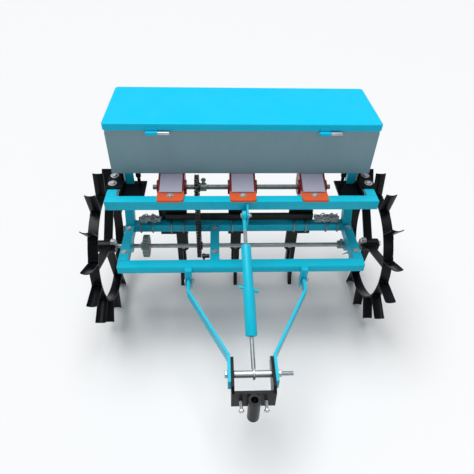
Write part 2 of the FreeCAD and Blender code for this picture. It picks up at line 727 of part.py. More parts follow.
def meter_flange(x):
    """The foot on the upper bar, with round corners in front."""
    outline = [(x - FLANGE_REAR_HALF, FLANGE_REAR), (x - FLANGE_FRONT_HALF, FLANGE_FRONT),
               (x + FLANGE_FRONT_HALF, FLANGE_FRONT), (x + FLANGE_REAR_HALF, FLANGE_REAR)]
    plate = level_plate(UPPER_TOP, FLANGE_TOP, outline)
    corners = [edge for edge in plate.Edges
               if edge.BoundBox.ZLength > FLANGE_THICK / 2 and edge.BoundBox.YMax < UPPER_FRONT]
    return plate.makeFillet(FLANGE_CORNER, corners)


def meter_body(x, spout_x):
    """The housing behind the flange, before it is hollowed."""
    front = UPPER_BACK
    low = METER_BOTTOM
    outline = [(FLANGE_REAR, FLANGE_TOP), (front, FLANGE_TOP), (front, UPPER_TOP - TUBE / 2),
               (front + METER_TAPER, low), (METER_BACK - METER_TAPER, low),
               (METER_BACK, low + METER_TAPER),
               (METER_BACK, HOPPER_FLOOR), (HOPPER_FRONT, HOPPER_FLOOR)]
    sides = side_plate(x - FLANGE_REAR_HALF, x + FLANGE_REAR_HALF, outline)
    boss = round_x(x - METER_BOSS_HALF, x + METER_BOSS_HALF, 0, METER_Z, METER_BOSS_R)
    spout = upright_bar(spout_x, SPOUT_Y, low - SPOUT_LONG, low + METER_WALL, TUBE_R + SPOUT_WALL)
    return joined(sides, boss, spout, meter_flange(x))


def meter_housing(x, spout_x):
    """A cast housing: a seed chamber round the roller, open to the hopper above."""
    inner = FLANGE_REAR_HALF - METER_WALL
    front = UPPER_BACK + METER_WALL
    back = METER_BACK - METER_WALL
    low = METER_BOTTOM + METER_WALL
    taper = METER_TAPER - METER_WALL / 2
    outline = [(FLANGE_REAR, UPPER_TOP), (front, METER_Z), (front + taper, low), (back - taper, low),
               (back, low + taper), (back, HOPPER_FLOOR + 1), (OUTLET_FRONT, HOPPER_FLOOR + 1)]
    chamber = side_plate(x - inner, x + inner, outline)
    shaft_hole = round_x(x - METER_BOSS_HALF, x + METER_BOSS_HALF, 0, METER_Z, SHAFT_R + RUN_GAP)
    outlet = upright_bar(spout_x, SPOUT_Y, METER_BOTTOM - SPOUT_LONG, low + METER_WALL, TUBE_R + SIDE_GAP)
    cover_space = side_plate(x - COVER_HALF, x + COVER_HALF, cover_under() + [
        (HOPPER_FRONT - SIDE_GAP, HOPPER_FLOOR + 1), (FLANGE_REAR - COVER_LAP, HOPPER_FLOOR + 1)])
    body = meter_body(x, spout_x).cut(chamber).cut(shaft_hole).cut(outlet)
    return body.cut(cover_space).cut(meter_bolt_holes())


def meter_housings():
    return [meter_housing(x, spout_x) for x, spout_x in zip(ROW_X, KNIFE_X)]


def meter_cover(x):
    """The bent sheet from the flange up to the hopper's front, over the seed chamber."""
    outline = cover_under() + [(HOPPER_FRONT - SIDE_GAP, HOPPER_FLOOR - SIDE_GAP),
                               (FLANGE_REAR - COVER_LAP, FLANGE_TOP + 2 * COVER_THICK)]
    return side_plate(x - COVER_HALF + SIDE_GAP, x + COVER_HALF - SIDE_GAP, outline)


def meter_covers():
    return [meter_cover(x) for x in ROW_X]


def fluted_roller(x):
    """The roller that carries seed round, with flutes along it."""
    x0 = x - ROLLER_HALF
    x1 = x + ROLLER_HALF
    return toothed_wheel(x, x1 - x0, ROLLER_R, FLUTES, 0, METER_Z, FLUTE_R, SHAFT_R + RUN_GAP)


def fluted_rollers():
    return [fluted_roller(x) for x in ROW_X]


def meter_bolts():
    """A bolt with a washer through each flange and the upper bar."""
    nut_space = HEAD_HIGH * BOLT_R
    length = FLANGE_THICK + TUBE + nut_space
    return [joined(*hex_bolt(x, FLANGE_BOLT_Y, FLANGE_TOP, length, BOLT_R)) for x in ROW_X]


def metering_shaft():
    return [round_x(-METER_SHAFT_HALF, METER_SHAFT_HALF, 0, METER_Z, SHAFT_R)]


def shaft_clamp():
    """A split collar on the metering shaft with its clamping bolt standing up."""
    x0 = CLAMP_X - CLAMP_WIDTH / 2
    x1 = CLAMP_X + CLAMP_WIDTH / 2
    collar = round_x(x0, x1, 0, METER_Z, CLAMP_R)
    stem_top = METER_Z + CLAMP_R + CLAMP_STEM_HIGH
    stem = upright_bar(CLAMP_X, 0, METER_Z, stem_top, CLAMP_STEM_R)
    head = hexagon(V(CLAMP_X, 0, stem_top), Z_AXIS, CLAMP_HEAD_HIGH, CLAMP_HEAD_R)
    return [joined(collar, stem, head).cut(round_x(x0, x1, 0, METER_Z, SHAFT_R + RUN_GAP))]


# ---- hopper ----------------------------------------------------------------------------------
def hopper_outline(inset):
    """The hopper seen from the side, its walls moved in by the inset."""
    slope = atan2(SLOPE_TOP - HOPPER_FLOOR, HOPPER_BACK - FLOOR_BACK)
    floor_back = FLOOR_BACK - inset * (1 - cos(slope)) / sin(slope)
    slope_top = SLOPE_TOP + inset * (1 - sin(slope)) / cos(slope)
    top = HOPPER_TOP if inset == 0 else HOPPER_TOP + 1
    return [(HOPPER_FRONT + inset, HOPPER_FLOOR + inset), (floor_back, HOPPER_FLOOR + inset),
            (HOPPER_BACK - inset, slope_top), (HOPPER_BACK - inset, top), (HOPPER_FRONT + inset, top)]


def hopper_body():
    """A folded sheet box with a level floor in front, a sloping back and a hole over each meter."""
    outer = side_plate(-HOPPER_HALF, HOPPER_HALF, hopper_outline(0))
    half = HOPPER_HALF - HOPPER_WALL
    inner = side_plate(-half, half, hopper_outline(HOPPER_WALL))
    outlets = [box(x - OUTLET_HALF, x + OUTLET_HALF, OUTLET_FRONT, OUTLET_BACK,
                   HOPPER_FLOOR - 1, HOPPER_FLOOR + 2 * HOPPER_WALL) for x in ROW_X]
    return [outer.cut(inner).cut(Part.makeCompound(outlets))]


def hinge_sets():
    return (HINGE_LEFT, HINGE_RIGHT)


def hopper_lid():
    """A shallow folded tray with round corners, turned over the hopper's edge."""
    low = LID_TOP - LID_SKIRT
    tray = box(-LID_HALF, LID_HALF, LID_FRONT, LID_BACK, low, LID_TOP)
    corners = [edge for edge in tray.Edges if edge.BoundBox.ZLength > LID_SKIRT / 2]
    tray = tray.makeFillet(LID_CORNER, corners)
    half = LID_HALF - LID_WALL
    space = box(-half, half, LID_FRONT + LID_WALL, LID_BACK - LID_WALL, low - 1, LID_TOP - LID_WALL)
    return [tray.cut(space)]


def lid_hinge_barrels():
    """The lid's half of each hinge: a barrel with a leaf welded inside the lid's lip."""
    barrels = []
    low = LID_TOP - LID_SKIRT
    for start, joint, _ in hinge_sets():
        end = joint - SIDE_GAP / 2
        barrel = round_x(start, end, HINGE_Y, HINGE_Z, HINGE_R)
        leaf = box(start, end, HINGE_Y, LID_FRONT, HINGE_Z, HINGE_Z + HINGE_R)
        lip = box(start, end, LID_FRONT - HINGE_LIP, LID_FRONT, HINGE_Z, low + LID_SKIRT / 2)
        bore = round_x(joint - HINGE_BORE_DEEP, joint, HINGE_Y, HINGE_Z, HINGE_PIN_R + RUN_GAP)
        barrels.append(joined(barrel, leaf, lip).cut(bore))
    return barrels


def lid_hinge_pins():
    """The hopper's half of each hinge: a sleeve on the front wall with the pin inside the barrel."""
    pins = []
    for _, joint, end in hinge_sets():
        start = joint + SIDE_GAP / 2
        sleeve = round_x(start, end, HINGE_Y, HINGE_Z, HINGE_SLEEVE_R)
        leaf = box(start, end, HINGE_Y, HOPPER_FRONT, HINGE_Z - HINGE_LEAF, HINGE_Z)
        pin = round_x(joint - HINGE_PIN_LONG, start, HINGE_Y, HINGE_Z, HINGE_PIN_R)
        pins.append(joined(sleeve, leaf, pin))
    return pins


# ---- brackets between the upper frame and the hopper --------------------------------------------
def hopper_bracket():
    """A black bracket on an arm: a bolted seat, an upright cheek under the hopper and a shelf."""
    seat = box(CHEEK_X, SEAT_OUTER, SEAT_FRONT, SEAT_BACK, UPPER_TOP, UPPER_TOP + BRACKET_PLATE)
    cheek = box(CHEEK_X, CHEEK_X + BRACKET_PLATE, UPPER_BACK, CHEEK_BACK, SHELF_Z,
                UPPER_TOP + BRACKET_PLATE)
    head = box(CHEEK_X, CHEEK_X + BRACKET_PLATE, CHEEK_FRONT, CHEEK_BACK, SHELF_Z, HOPPER_FLOOR)
    shelf = box(SHELF_INNER, CHEEK_X + BRACKET_PLATE, UPPER_BACK, SHELF_BACK, SHELF_Z,
                SHELF_Z + BRACKET_PLATE)
    return joined(seat, cheek, head, shelf).cut(bracket_bolt_holes())


def hopper_brackets():
    return both(hopper_bracket())


def bracket_bolts():
    """Large bolts with washers that hold the brackets to the arms."""
    bolts = []
    nut_space = HEAD_HIGH * BOLT_R
    for y in BRACKET_BOLT_Y:
        length = BRACKET_PLATE + TUBE + nut_space
        top = UPPER_TOP + BRACKET_PLATE
        bolt = hex_bolt(BRACKET_BOLT_X, y, top, length, BOLT_R)
        washer = upright_bar(BRACKET_BOLT_X, y, top, top + WASHER_THICK, BIG_WASHER_R * BOLT_R)
        bolts += both(joined(*bolt, washer))
    return bolts


def hanger_plates():
    """Blue plates from the shelf up to the hopper's floor, round at the outer lower corner."""
    low = SHELF_Z + BRACKET_PLATE
    plate = box(HANGER_INNER, HANGER_OUTER, HANGER_Y, HANGER_Y + HANGER_THICK, low, HOPPER_FLOOR)
    corner = [edge for edge in plate.Edges if edge.BoundBox.YLength > HANGER_THICK / 2
              and edge.BoundBox.ZMax < low + 1 and edge.BoundBox.XMin > HANGER_OUTER - 1]
    return both(plate.makeFillet(BRACKET_PLATE, corner))


def hanger_rods():
    """Black rods with knobs that steady the hopper on the shelf."""
    low = SHELF_Z + BRACKET_PLATE
    stem = upright_bar(ROD_X, ROD_Y, low, HOPPER_FLOOR, ROD_R)
    knob = upright_bar(ROD_X, ROD_Y, HOPPER_FLOOR - ROD_KNOB_HIGH, HOPPER_FLOOR, ROD_KNOB_R)
    return both(joined(stem, knob))


# ---- openers ---------------------------------------------------------------------------------
def ubolt_places():
    places = []
    for centre in CLAMP_CENTRES:
        places += [centre - CLAMP_LEGS, centre + CLAMP_LEGS]
    return places


def ubolt_heights():
    """The two levels at which a U-bolt's legs pass the rear bar."""
    return (LOWER_UNDER - UBOLT_R - SIDE_GAP / 2, LOWER_TOP + UBOLT_R + SIDE_GAP / 2)


def clamp_plates():
    """Flat plates behind the rear bar, drilled for the U-bolts."""
    plates = []
    low_leg, high_leg = ubolt_heights()
    for centre, span, low, high in zip(CLAMP_CENTRES, CLAMP_SPANS, CLAMP_LOW, CLAMP_HIGH):
        plate = box(span[0], span[1], REAR_BAR_BACK, REAR_BAR_BACK + CLAMP_THICK, low, high)
        for x in (centre - CLAMP_LEGS, centre + CLAMP_LEGS):
            for z in (low_leg, high_leg):
                hole = rod(V(x, REAR_BAR_BACK - 1, z), V(x, REAR_BAR_BACK + TUBE, z), UBOLT_R + RUN_GAP)
                plate = plate.cut(hole)
        plates.append(plate)
    return plates


def u_bolt(x):
    """A square-bent rod in front of the rear bar, its legs held by nuts behind the clamp plate."""
    low_leg, high_leg = ubolt_heights()
    front = REAR_BAR_FRONT - UBOLT_R - SIDE_GAP / 2
    tail = REAR_BAR_BACK + CLAMP_THICK + NUT_THICK + UBOLT_TAIL
    face = REAR_BAR_BACK + CLAMP_THICK
    pieces = [rod(V(x, front, low_leg), V(x, front, high_leg), UBOLT_R)]
    for z in (low_leg, high_leg):
        pieces.append(Part.makeSphere(UBOLT_R, V(x, front, z)))
        pieces.append(rod(V(x, front, z), V(x, tail, z), UBOLT_R))
        pieces.append(hexagon(V(x, face, z), Y_AXIS, NUT_THICK, NUT_R))
    return joined(*pieces)


def u_bolts():
    return [u_bolt(x) for x in ubolt_places()]


def opener_shank(x):
    """A flat bar welded to the clamp plate under the rear bar, with a rounded foot."""
    back = REAR_BAR_BACK
    front = back - SHANK_THICK
    flat = box(x - SHANK_HALF, x + SHANK_HALF, front, back, LOBE_Z, SHANK_TOP)
    lobe = rod(V(x, front, LOBE_Z), V(x, back, LOBE_Z), SHANK_HALF + LOBE_PLUS)
    hole = rod(V(x, front, LOBE_Z), V(x, back, LOBE_Z), BOLT_R + RUN_GAP)
    return joined(flat, lobe).cut(hole)


def opener_shanks():
    return [opener_shank(x) for x in OPENER_X]


def knife_outline():
    """The knife seen from the side: an upright blade that sweeps forward to its point."""
    front = REAR_BAR_BACK
    back = REAR_BAR_BACK + KNIFE_DEEP
    sweep = [(front + forward, height) for forward, height in KNIFE_SWEEP]
    heel = [(back + forward, height) for forward, height in KNIFE_HEEL]
    point = [(KNIFE_TIP_Y, 0.0), (KNIFE_TIP_Y + KNIFE_POINT, 0.0)]
    return [(front, KNIFE_TOP)] + sweep + point + heel + [(back, KNIFE_TOP)]


def opener_knives():
    """Soil knives behind the shanks, one for each row."""
    knives = []
    for x, shank_x in zip(KNIFE_X, OPENER_X):
        knife = side_plate(x - KNIFE_THICK / 2, x + KNIFE_THICK / 2, knife_outline())
        bolt = rod(V(shank_x, REAR_BAR_BACK - 1, LOBE_Z),
                   V(shank_x, REAR_BAR_BACK + 2 * NUT_THICK, LOBE_Z), WASHER_R * BOLT_R)
        knives.append(knife.cut(bolt))
    return knives


def opener_boots():
    """Seed boots welded behind the knives: square tubes open above and below."""
    boots = []
    front = REAR_BAR_BACK + KNIFE_DEEP
    back = front + BOOT_DEEP
    for x in KNIFE_X:
        outer = box(x - BOOT_HALF, x + BOOT_HALF, front, back, BOOT_LOW, KNIFE_TOP)
        inner = box(x - BOOT_HALF + BOOT_WALL, x + BOOT_HALF - BOOT_WALL, front + BOOT_WALL,
                    back - BOOT_WALL, BOOT_LOW, KNIFE_TOP)
        boots.append(outer.cut(inner))
    return boots


def opener_bolts():
    """The bolt through each shank's foot, its head in front and its nut behind."""
    bolts = []
    front = REAR_BAR_BACK - SHANK_THICK
    for x in OPENER_X:
        shank = rod(V(x, front, LOBE_Z), V(x, REAR_BAR_BACK, LOBE_Z), BOLT_R)
        head = hexagon(V(x, front, LOBE_Z), V(0, -1, 0), NUT_THICK, HEAD_R * BOLT_R)
        nut = hexagon(V(x, REAR_BAR_BACK, LOBE_Z), Y_AXIS, NUT_THICK, HEAD_R * BOLT_R)
        bolts.append(joined(shank, head, nut))
    return bolts


def tube_route(x):
    """The line of a seed tube: down from the spout, back over the rear bar and down to the boot."""
    start = V(x, SPOUT_Y, METER_BOTTOM - 2)
    bends = [V(x, SPOUT_Y, METER_BOTTOM - SPOUT_LONG - TUBE_LEAD), V(x, TUBE_Y, TUBE_BEND_Z)]
    end = V(x, TUBE_Y, KNIFE_TOP - TUBE_IN_BOOT)
    edges = []
    place = start
    for bend, after in zip(bends, (bends[1], end)):
        inward = (bend - place).normalize()
        outward = (after - bend).normalize()
        half_turn = inward.getAngle(outward) / 2
        setback = TUBE_BEND_R * tan(half_turn)
        arc_start = bend - inward * setback
        arc_end = bend + outward * setback
        middle_line = (outward - inward).normalize()
        middle = bend + middle_line * (TUBE_BEND_R / cos(half_turn) - TUBE_BEND_R)
        edges.append(Part.LineSegment(place, arc_start).toShape())
        edges.append(Part.Arc(arc_start, middle, arc_end).toShape())
        place = arc_end
    edges.append(Part.LineSegment(place, end).toShape())
    return start, Part.Wire(edges)


def seed_tube(x):
    """A steel pipe swept along its line."""
    start, route = tube_route(x)
    pipes = []
    for radius in (TUBE_R, TUBE_BORE):
        ring = Part.Wire(Part.makeCircle(radius, start, Z_AXIS))
        pipes.append(route.makePipeShell([ring], True, False))
    return pipes[0].cut(pipes[1])


def seed_tubes():
    return [seed_tube(x) for x in KNIFE_X]


def rear_tie_bar():
    """A flat bar on edge over the rear bar, welded to the front of the opener clamp plates."""
    back = REAR_BAR_BACK
    return [box(CLAMP_SPANS[1][0] + TIE_SHORT, CLAMP_SPANS[3][1], back - TIE_THICK, back, TIE_Z, TIE_Z + TIE_HIGH)]


def chain_bundle(span):
    """The covering chain gathered on the rear bar, as one rounded heap."""
    middle = (REAR_BAR_FRONT + REAR_BAR_BACK) / 2
    heap = box(span[0], span[1], middle - BUNDLE_DEEP / 2, middle + BUNDLE_DEEP / 2,
               LOWER_TOP + 2 * UBOLT_R + SIDE_GAP, LOWER_TOP + BUNDLE_HIGH)
    top = [edge for edge in heap.Edges if edge.BoundBox.ZMin > LOWER_TOP + BUNDLE_HIGH - 1]
    return heap.makeFillet(BUNDLE_ROUND, top)


def chain_bundle_left():
    return [chain_bundle(BUNDLE_LEFT)]


def chain_bundle_right():
    return [chain_bundle(BUNDLE_RIGHT)]


# ---- drawbar and hitch -------------------------------------------------------------------------
def clip_places():
    return (HITCH_X - CLIP_SPREAD, HITCH_X + CLIP_SPREAD)


def drawbar_clips():
    """Channels welded to the front bar that hold the arms' rear ends."""
    clips = []
    front = LOWER_FRONT - CLIP_DEEP
    for x in clip_places():
        web = box(x - CLIP_HALF, x + CLIP_HALF, front, front + CLIP_PLATE, CLIP_WEB_LOW, LOWER_TOP - 4)
        sides = [box(x0, x0 + CLIP_PLATE, front, LOWER_FRONT, CLIP_LOW, LOWER_TOP - 4)
                 for x0 in (x - CLIP_HALF, x + CLIP_HALF - CLIP_PLATE)]
        cap = box(x - CLIP_HALF, x + CLIP_HALF, front, LOWER_FRONT, LOWER_TOP - 4 - CLIP_PLATE, LOWER_TOP - 4)
        hole = round_x(x - TUBE, x + TUBE, PIVOT_Y, PIVOT_Z, BOLT_R + RUN_GAP)
        clips.append(joined(web, cap, *sides).cut(hole))
    return clips


def drawbar_arm(side):
    """A flat bar on edge: straight from its clip, bent in to the clevis and straight beside it."""
    rear_x = HITCH_X + side * CLIP_SPREAD
    front_x = HITCH_X + side * (ARM_INNER + ARM_THICK / 2)
    half = ARM_THICK / 2
    tail = PIVOT_Y + ARM_TAIL
    outline = [(rear_x - half, tail), (rear_x - half, ARM_BEND_REAR), (front_x - half, ARM_BEND_FRONT),
               (front_x - half, ARM_END), (front_x + half, ARM_END), (front_x + half, ARM_BEND_FRONT),
               (rear_x + half, ARM_BEND_REAR), (rear_x + half, tail)]
    bar = level_plate(PIVOT_Z - ARM_HIGH / 2, PIVOT_Z + ARM_HIGH / 2, outline)
    pivot = round_x(rear_x - TUBE, rear_x + TUBE, PIVOT_Y, PIVOT_Z, BOLT_R + RUN_GAP)
    bolt = round_x(front_x - TUBE, front_x + TUBE, HITCH_BOLT_Y, HITCH_BOLT_Z, HITCH_BOLT_R + RUN_GAP)
    tail_round = round_x(rear_x - TUBE, rear_x + TUBE, PIVOT_Y, PIVOT_Z, ARM_HIGH / 2)
    rear_block = box(rear_x - TUBE, rear_x + TUBE, PIVOT_Y, PIVOT_Y + TUBE, 0, LOWER_TOP)
    bar = bar.cut(rear_block.cut(tail_round))
    return [bar.cut(pivot).cut(bolt)]


def drawbar_arm_left():
    return drawbar_arm(-1)


def drawbar_arm_right():
    return drawbar_arm(1)


def pivot_bolts():
    """Bolts across the clips, on which the arms swing."""
    bolts = []
    for x in clip_places():
        shank = round_x(x - CLIP_HALF, x + CLIP_HALF + PIVOT_TAIL, PIVOT_Y, PIVOT_Z, BOLT_R)
        head = hexagon(V(x - CLIP_HALF, PIVOT_Y, PIVOT_Z), V(-1, 0, 0), PIVOT_HEAD_THICK, HEAD_R * BOLT_R)
        nut = hexagon(V(x + CLIP_HALF, PIVOT_Y, PIVOT_Z), X_AXIS, NUT_THICK, HEAD_R * BOLT_R)
        bolts.append(joined(shank, head, nut))
    return bolts


def hitch_clevis():
    """The hitch: two ears, a cross plate and the upright tube for the tractor's pin."""
    ears = []
    front = PLATE_BACK - PLATE_THICK
    for x0 in (HITCH_X - EAR_OUTER, HITCH_X + EAR_INNER):
        outline = [(EAR_REAR, EAR_LOW + EAR_HEEL), (EAR_REAR, EAR_HIGH - EAR_TIP_DROP),
                   (EAR_REAR - EAR_TIP, EAR_HIGH), (PLATE_BACK + EAR_NOSE, EAR_HIGH),
                   (front, PLATE_HIGH), (front, PLATE_LOW), (PLATE_BACK + EAR_NOSE, PLATE_LOW)]
        ears.append(side_plate(x0, x0 + EAR_THICK, outline))
    plate = box(HITCH_X - EAR_OUTER, HITCH_X + EAR_OUTER, front, PLATE_BACK, PLATE_LOW, PLATE_HIGH)
    tube = upright_bar(HITCH_X, PIN_TUBE_Y + 1, PIN_TUBE_LOW, PLATE_HIGH, PIN_TUBE_R)
    bore = upright_bar(HITCH_X, PIN_TUBE_Y, PIN_TUBE_LOW, PLATE_HIGH, PIN_BORE_R)
    pivot = round_x(HITCH_X - 2 * EAR_OUTER, HITCH_X + 2 * EAR_OUTER, HITCH_BOLT_Y, HITCH_BOLT_Z,
                    HITCH_BOLT_R + RUN_GAP)
    whole = joined(*ears, plate, tube).cut(bore).cut(pivot)
    for side in (-ADJUST_SPREAD, ADJUST_SPREAD):
        hole = rod(V(HITCH_X + side, front - 1, ADJUST_Z), V(HITCH_X + side, PLATE_BACK + 1, ADJUST_Z),
                   ADJUST_R + RUN_GAP)
        whole = whole.cut(hole)
    return [whole]


def adjusting_bolts():
    """Two long screws through the cross plate, pointing forward, with nuts behind."""
    bolts = []
    front = PLATE_BACK - PLATE_THICK
    for side in (-ADJUST_SPREAD, ADJUST_SPREAD):
        x = HITCH_X + side
        shank = rod(V(x, PLATE_BACK + ADJUST_IN, ADJUST_Z), V(x, front - ADJUST_OUT, ADJUST_Z), ADJUST_R)
        head = hexagon(V(x, front - ADJUST_OUT, ADJUST_Z), V(0, -1, 0), ADJUST_HEAD_THICK, ADJUST_HEAD_R)
        nut = hexagon(V(x, PLATE_BACK, ADJUST_Z), Y_AXIS, ADJUST_HEAD_THICK, ADJUST_HEAD_R)
        bolts.append(joined(shank, head, nut))
    return bolts


def arm_outer():
    """Outer face of a drawbar arm beside the clevis, from the hitch line."""
    return ARM_INNER + ARM_THICK


def hitch_bolt():
    """The long bolt through arms, ears and sleeve, with its head on the left and its nut."""
    y, z = HITCH_BOLT_Y, HITCH_BOLT_Z
    left = HITCH_X - arm_outer()
    right = HITCH_X + arm_outer()
    shank = round_x(left, HITCH_X + HITCH_THREAD_END, y, z, HITCH_BOLT_R)
    head = hexagon(V(left, y, z), V(-1, 0, 0), HITCH_HEAD_THICK, HITCH_HEAD_R)
    nut = hexagon(V(right, y, z), X_AXIS, HITCH_NUT_THICK, HITCH_HEAD_R)
    return [joined(shank, head), nut.cut(round_x(right, right + TUBE, y, z, HITCH_BOLT_R + RUN_GAP))]


def hitch_sleeve():
    """The spacer tube between the ears, round the hitch bolt."""
    half = EAR_INNER - SIDE_GAP
    tube = round_x(HITCH_X - half, HITCH_X + half, HITCH_BOLT_Y, HITCH_BOLT_Z, SLEEVE_R)
    return [tube.cut(round_x(HITCH_X - half, HITCH_X + half, HITCH_BOLT_Y, HITCH_BOLT_Z,
                             HITCH_BOLT_R + RUN_GAP))]


# ---- top link --------------------------------------------------------------------------------
def link_point(distance):
    """A point on the top link's line, measured from its upper pivot."""
    return LINK_TOP + LINK_DIR * distance


def eye(centre, bore, thick):
    """A flat ring across the machine, welded on the end of a rod."""
    x0 = centre.x - thick / 2
    return (round_x(x0, x0 + thick, centre.y, centre.z, EYE_R),
            round_x(x0 - TUBE, x0 + TUBE, centre.y, centre.z, bore))


def top_link_lug():
    """The plate on the front of the upper bar that carries the top link."""
    x0 = LINK_TOP.x + LINK_ROD_R + LINK_SIDE_GAP
    y, z = LINK_TOP.y, LINK_TOP.z
    edge = [(y + back, z - below) for back, below in LINK_LUG]
    reach, shoulder = LINK_LUG[-1]
    outline = [(UPPER_FRONT, UPPER_TOP - LINK_LUG_TOP), (UPPER_FRONT, z - shoulder)] + edge
    outline.append((y + reach, z + LINK_LUG_RISE))
    plate = side_plate(x0, x0 + LUG_PLATE, outline)
    return [plate.cut(round_x(x0 - 1, x0 + TUBE, y, z, LINK_BOLT_R + RUN_GAP))]


def top_link_bolt():
    """The bolt through the lug and the upper rod's eye."""
    x0 = LINK_TOP.x - LINK_ROD_R - SIDE_GAP
    x1 = LINK_TOP.x + LINK_ROD_R + LINK_SIDE_GAP + LUG_PLATE
    y, z = LINK_TOP.y, LINK_TOP.z
    shank = round_x(x0, x1 + LINK_TAIL, y, z, LINK_BOLT_R)
    head = hexagon(V(x0, y, z), V(-1, 0, 0), LINK_HEAD_THICK, LINK_HEAD_R)
    nut = hexagon(V(x1, y, z), X_AXIS, LINK_HEAD_THICK, LINK_HEAD_R)
    return [joined(shank, head, nut)]


def upper_rod():
    """The threaded rod from the lug down into the turnbuckle."""
    ring, bore = eye(LINK_TOP, LINK_BOLT_R + RUN_GAP, 2 * LINK_ROD_R)
    stem = rod(link_point(EYE_R / 2), link_point(BARREL_START + ROD_IN_BARREL), LINK_ROD_R)
    return [joined(ring, stem).cut(bore)]


def lower_rod():
    """The threaded rod from the turnbuckle down to the eye round the hitch sleeve."""
    ring, bore = eye(LINK_END, SLEEVE_R + EYE_GAP, EYE_THICK)
    ring_middle = (SLEEVE_R + EYE_GAP + EYE_R) / 2
    stem = rod(link_point(BARREL_END - ROD_IN_BARREL), link_point(LINK_LENGTH - ring_middle), LINK_ROD_R)
    return [joined(ring, stem).cut(bore)]


def turnbuckle():
    """The stepped tube with a crossing handle that screws both rods in and out."""
    upper = rod(link_point(BARREL_START), link_point(BARREL_STEP), BARREL_R)
    lower = rod(link_point(BARREL_STEP), link_point(BARREL_END), BARREL_LOW_R)
    bore = rod(link_point(BARREL_START - 1), link_point(BARREL_END + 1), BARREL_BORE_R)
    hollow = rod(link_point(BARREL_START + BARREL_NUT), link_point(BARREL_END - BARREL_NUT), BARREL_INNER_R)
    middle = link_point(BARREL_STEP)
    cross = LINK_DIR * HANDLE_TILT + X_AXIS
    cross.normalize()
    handle = rod(middle - cross * HANDLE_OUT, middle + cross * HANDLE_OUT, HANDLE_R)
    return [joined(upper, lower, handle).cut(joined(bore, hollow))]


# ---- the pieces and their files ---------------------------------------------------------------
NODES = {
    "lower_front_bar": lower_front_bar,
    "lower_rear_bar": lower_rear_bar,
    "lower_side_tubes": lower_side_tubes,
    "middle_tube": middle_tube,
    "shaft_bearings": shaft_bearings,
    "frame_bolts": frame_bolts,
    "wheel_rim_left": lambda: [mirrored(wheel_rim())],
    "wheel_rim_right": lambda: [wheel_rim()],
    "wheel_hubs": lambda: both(wheel_hub()),
    "wheel_lugs_left": lambda: [mirrored(lug) for lug in wheel_lugs()],
    "wheel_lugs_right": wheel_lugs,
    "lug_rivets": lug_rivets,
    "hub_bolts": hub_bolts,
    "cross_shaft": cross_shaft,
    "gear_wheel": gear_wheel,
    "shaft_collar": shaft_collar,
    "lower_sprocket": lower_sprocket,
    "upper_sprocket": upper_sprocket,
    "drive_chain": drive_chain,
    "chain_tensioner": chain_tensioner,
    "upper_front_bar": upper_front_bar,
    "upper_side_arms": upper_side_arms,
    "uprights": uprights,
    "meter_housings": meter_housings,
    "meter_covers": meter_covers,
    "fluted_rollers": fluted_rollers,
    "meter_bolts": meter_bolts,
    "metering_shaft": metering_shaft,
    "shaft_clamp": shaft_clamp,
    "hopper_body": hopper_body,
    "hopper_lid": hopper_lid,
    "lid_hinge_barrels": lid_hinge_barrels,
    "lid_hinge_pins": lid_hinge_pins,
    "hopper_brackets": hopper_brackets,
    "bracket_bolts": bracket_bolts,
    "hanger_plates": hanger_plates,
    "hanger_rods": hanger_rods,
    "clamp_plates": clamp_plates,
    "u_bolts": u_bolts,
    "opener_shanks": opener_shanks,
    "opener_knives": opener_knives,
    "opener_boots": opener_boots,
    "opener_bolts": opener_bolts,
    "seed_tubes": seed_tubes,
    "rear_tie_bar": rear_tie_bar,
    "chain_bundle_left": chain_bundle_left,
    "chain_bundle_right": chain_bundle_right,
    "drawbar_clips": drawbar_clips,
    "drawbar_arm_left": drawbar_arm_left,
    "drawbar_arm_right": drawbar_arm_right,
    "pivot_bolts": pivot_bolts,
    "hitch_clevis": hitch_clevis,
    "adjusting_bolts": adjusting_bolts,
    "hitch_bolt": hitch_bolt,
    "hitch_sleeve": hitch_sleeve,
    "top_link_lug": top_link_lug,
    "top_link_bolt": top_link_bolt,
    "upper_rod": upper_rod,
    "lower_rod": lower_rod,
    "turnbuckle": turnbuckle,
}


def main():
    os.makedirs("parts", exist_ok=True)
    for name, make in NODES.items():
        solids = []
        for piece in make():
            solids += piece.Solids
        shape = Part.makeCompound(solids) if len(solids) > 1 else solids[0]
        shape = shape.copy()
        shape.translate(ORIGIN_SHIFT)
        shape.exportStep("parts/" + name + ".step")
        size = shape.BoundBox
        print(name, len(solids), shape.isValid(), round(shape.Volume / 1000.0, 1), "cm3",
              [round(v) for v in (size.XMin, size.XMax, size.YMin, size.YMax, size.ZMin, size.ZMax)])
    print("nodes", len(NODES), "origin shift", round(ORIGIN_SHIFT.y, 2))


main()
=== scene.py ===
import json
import math

import bpy
import numpy as np
from mathutils import Matrix, Vector


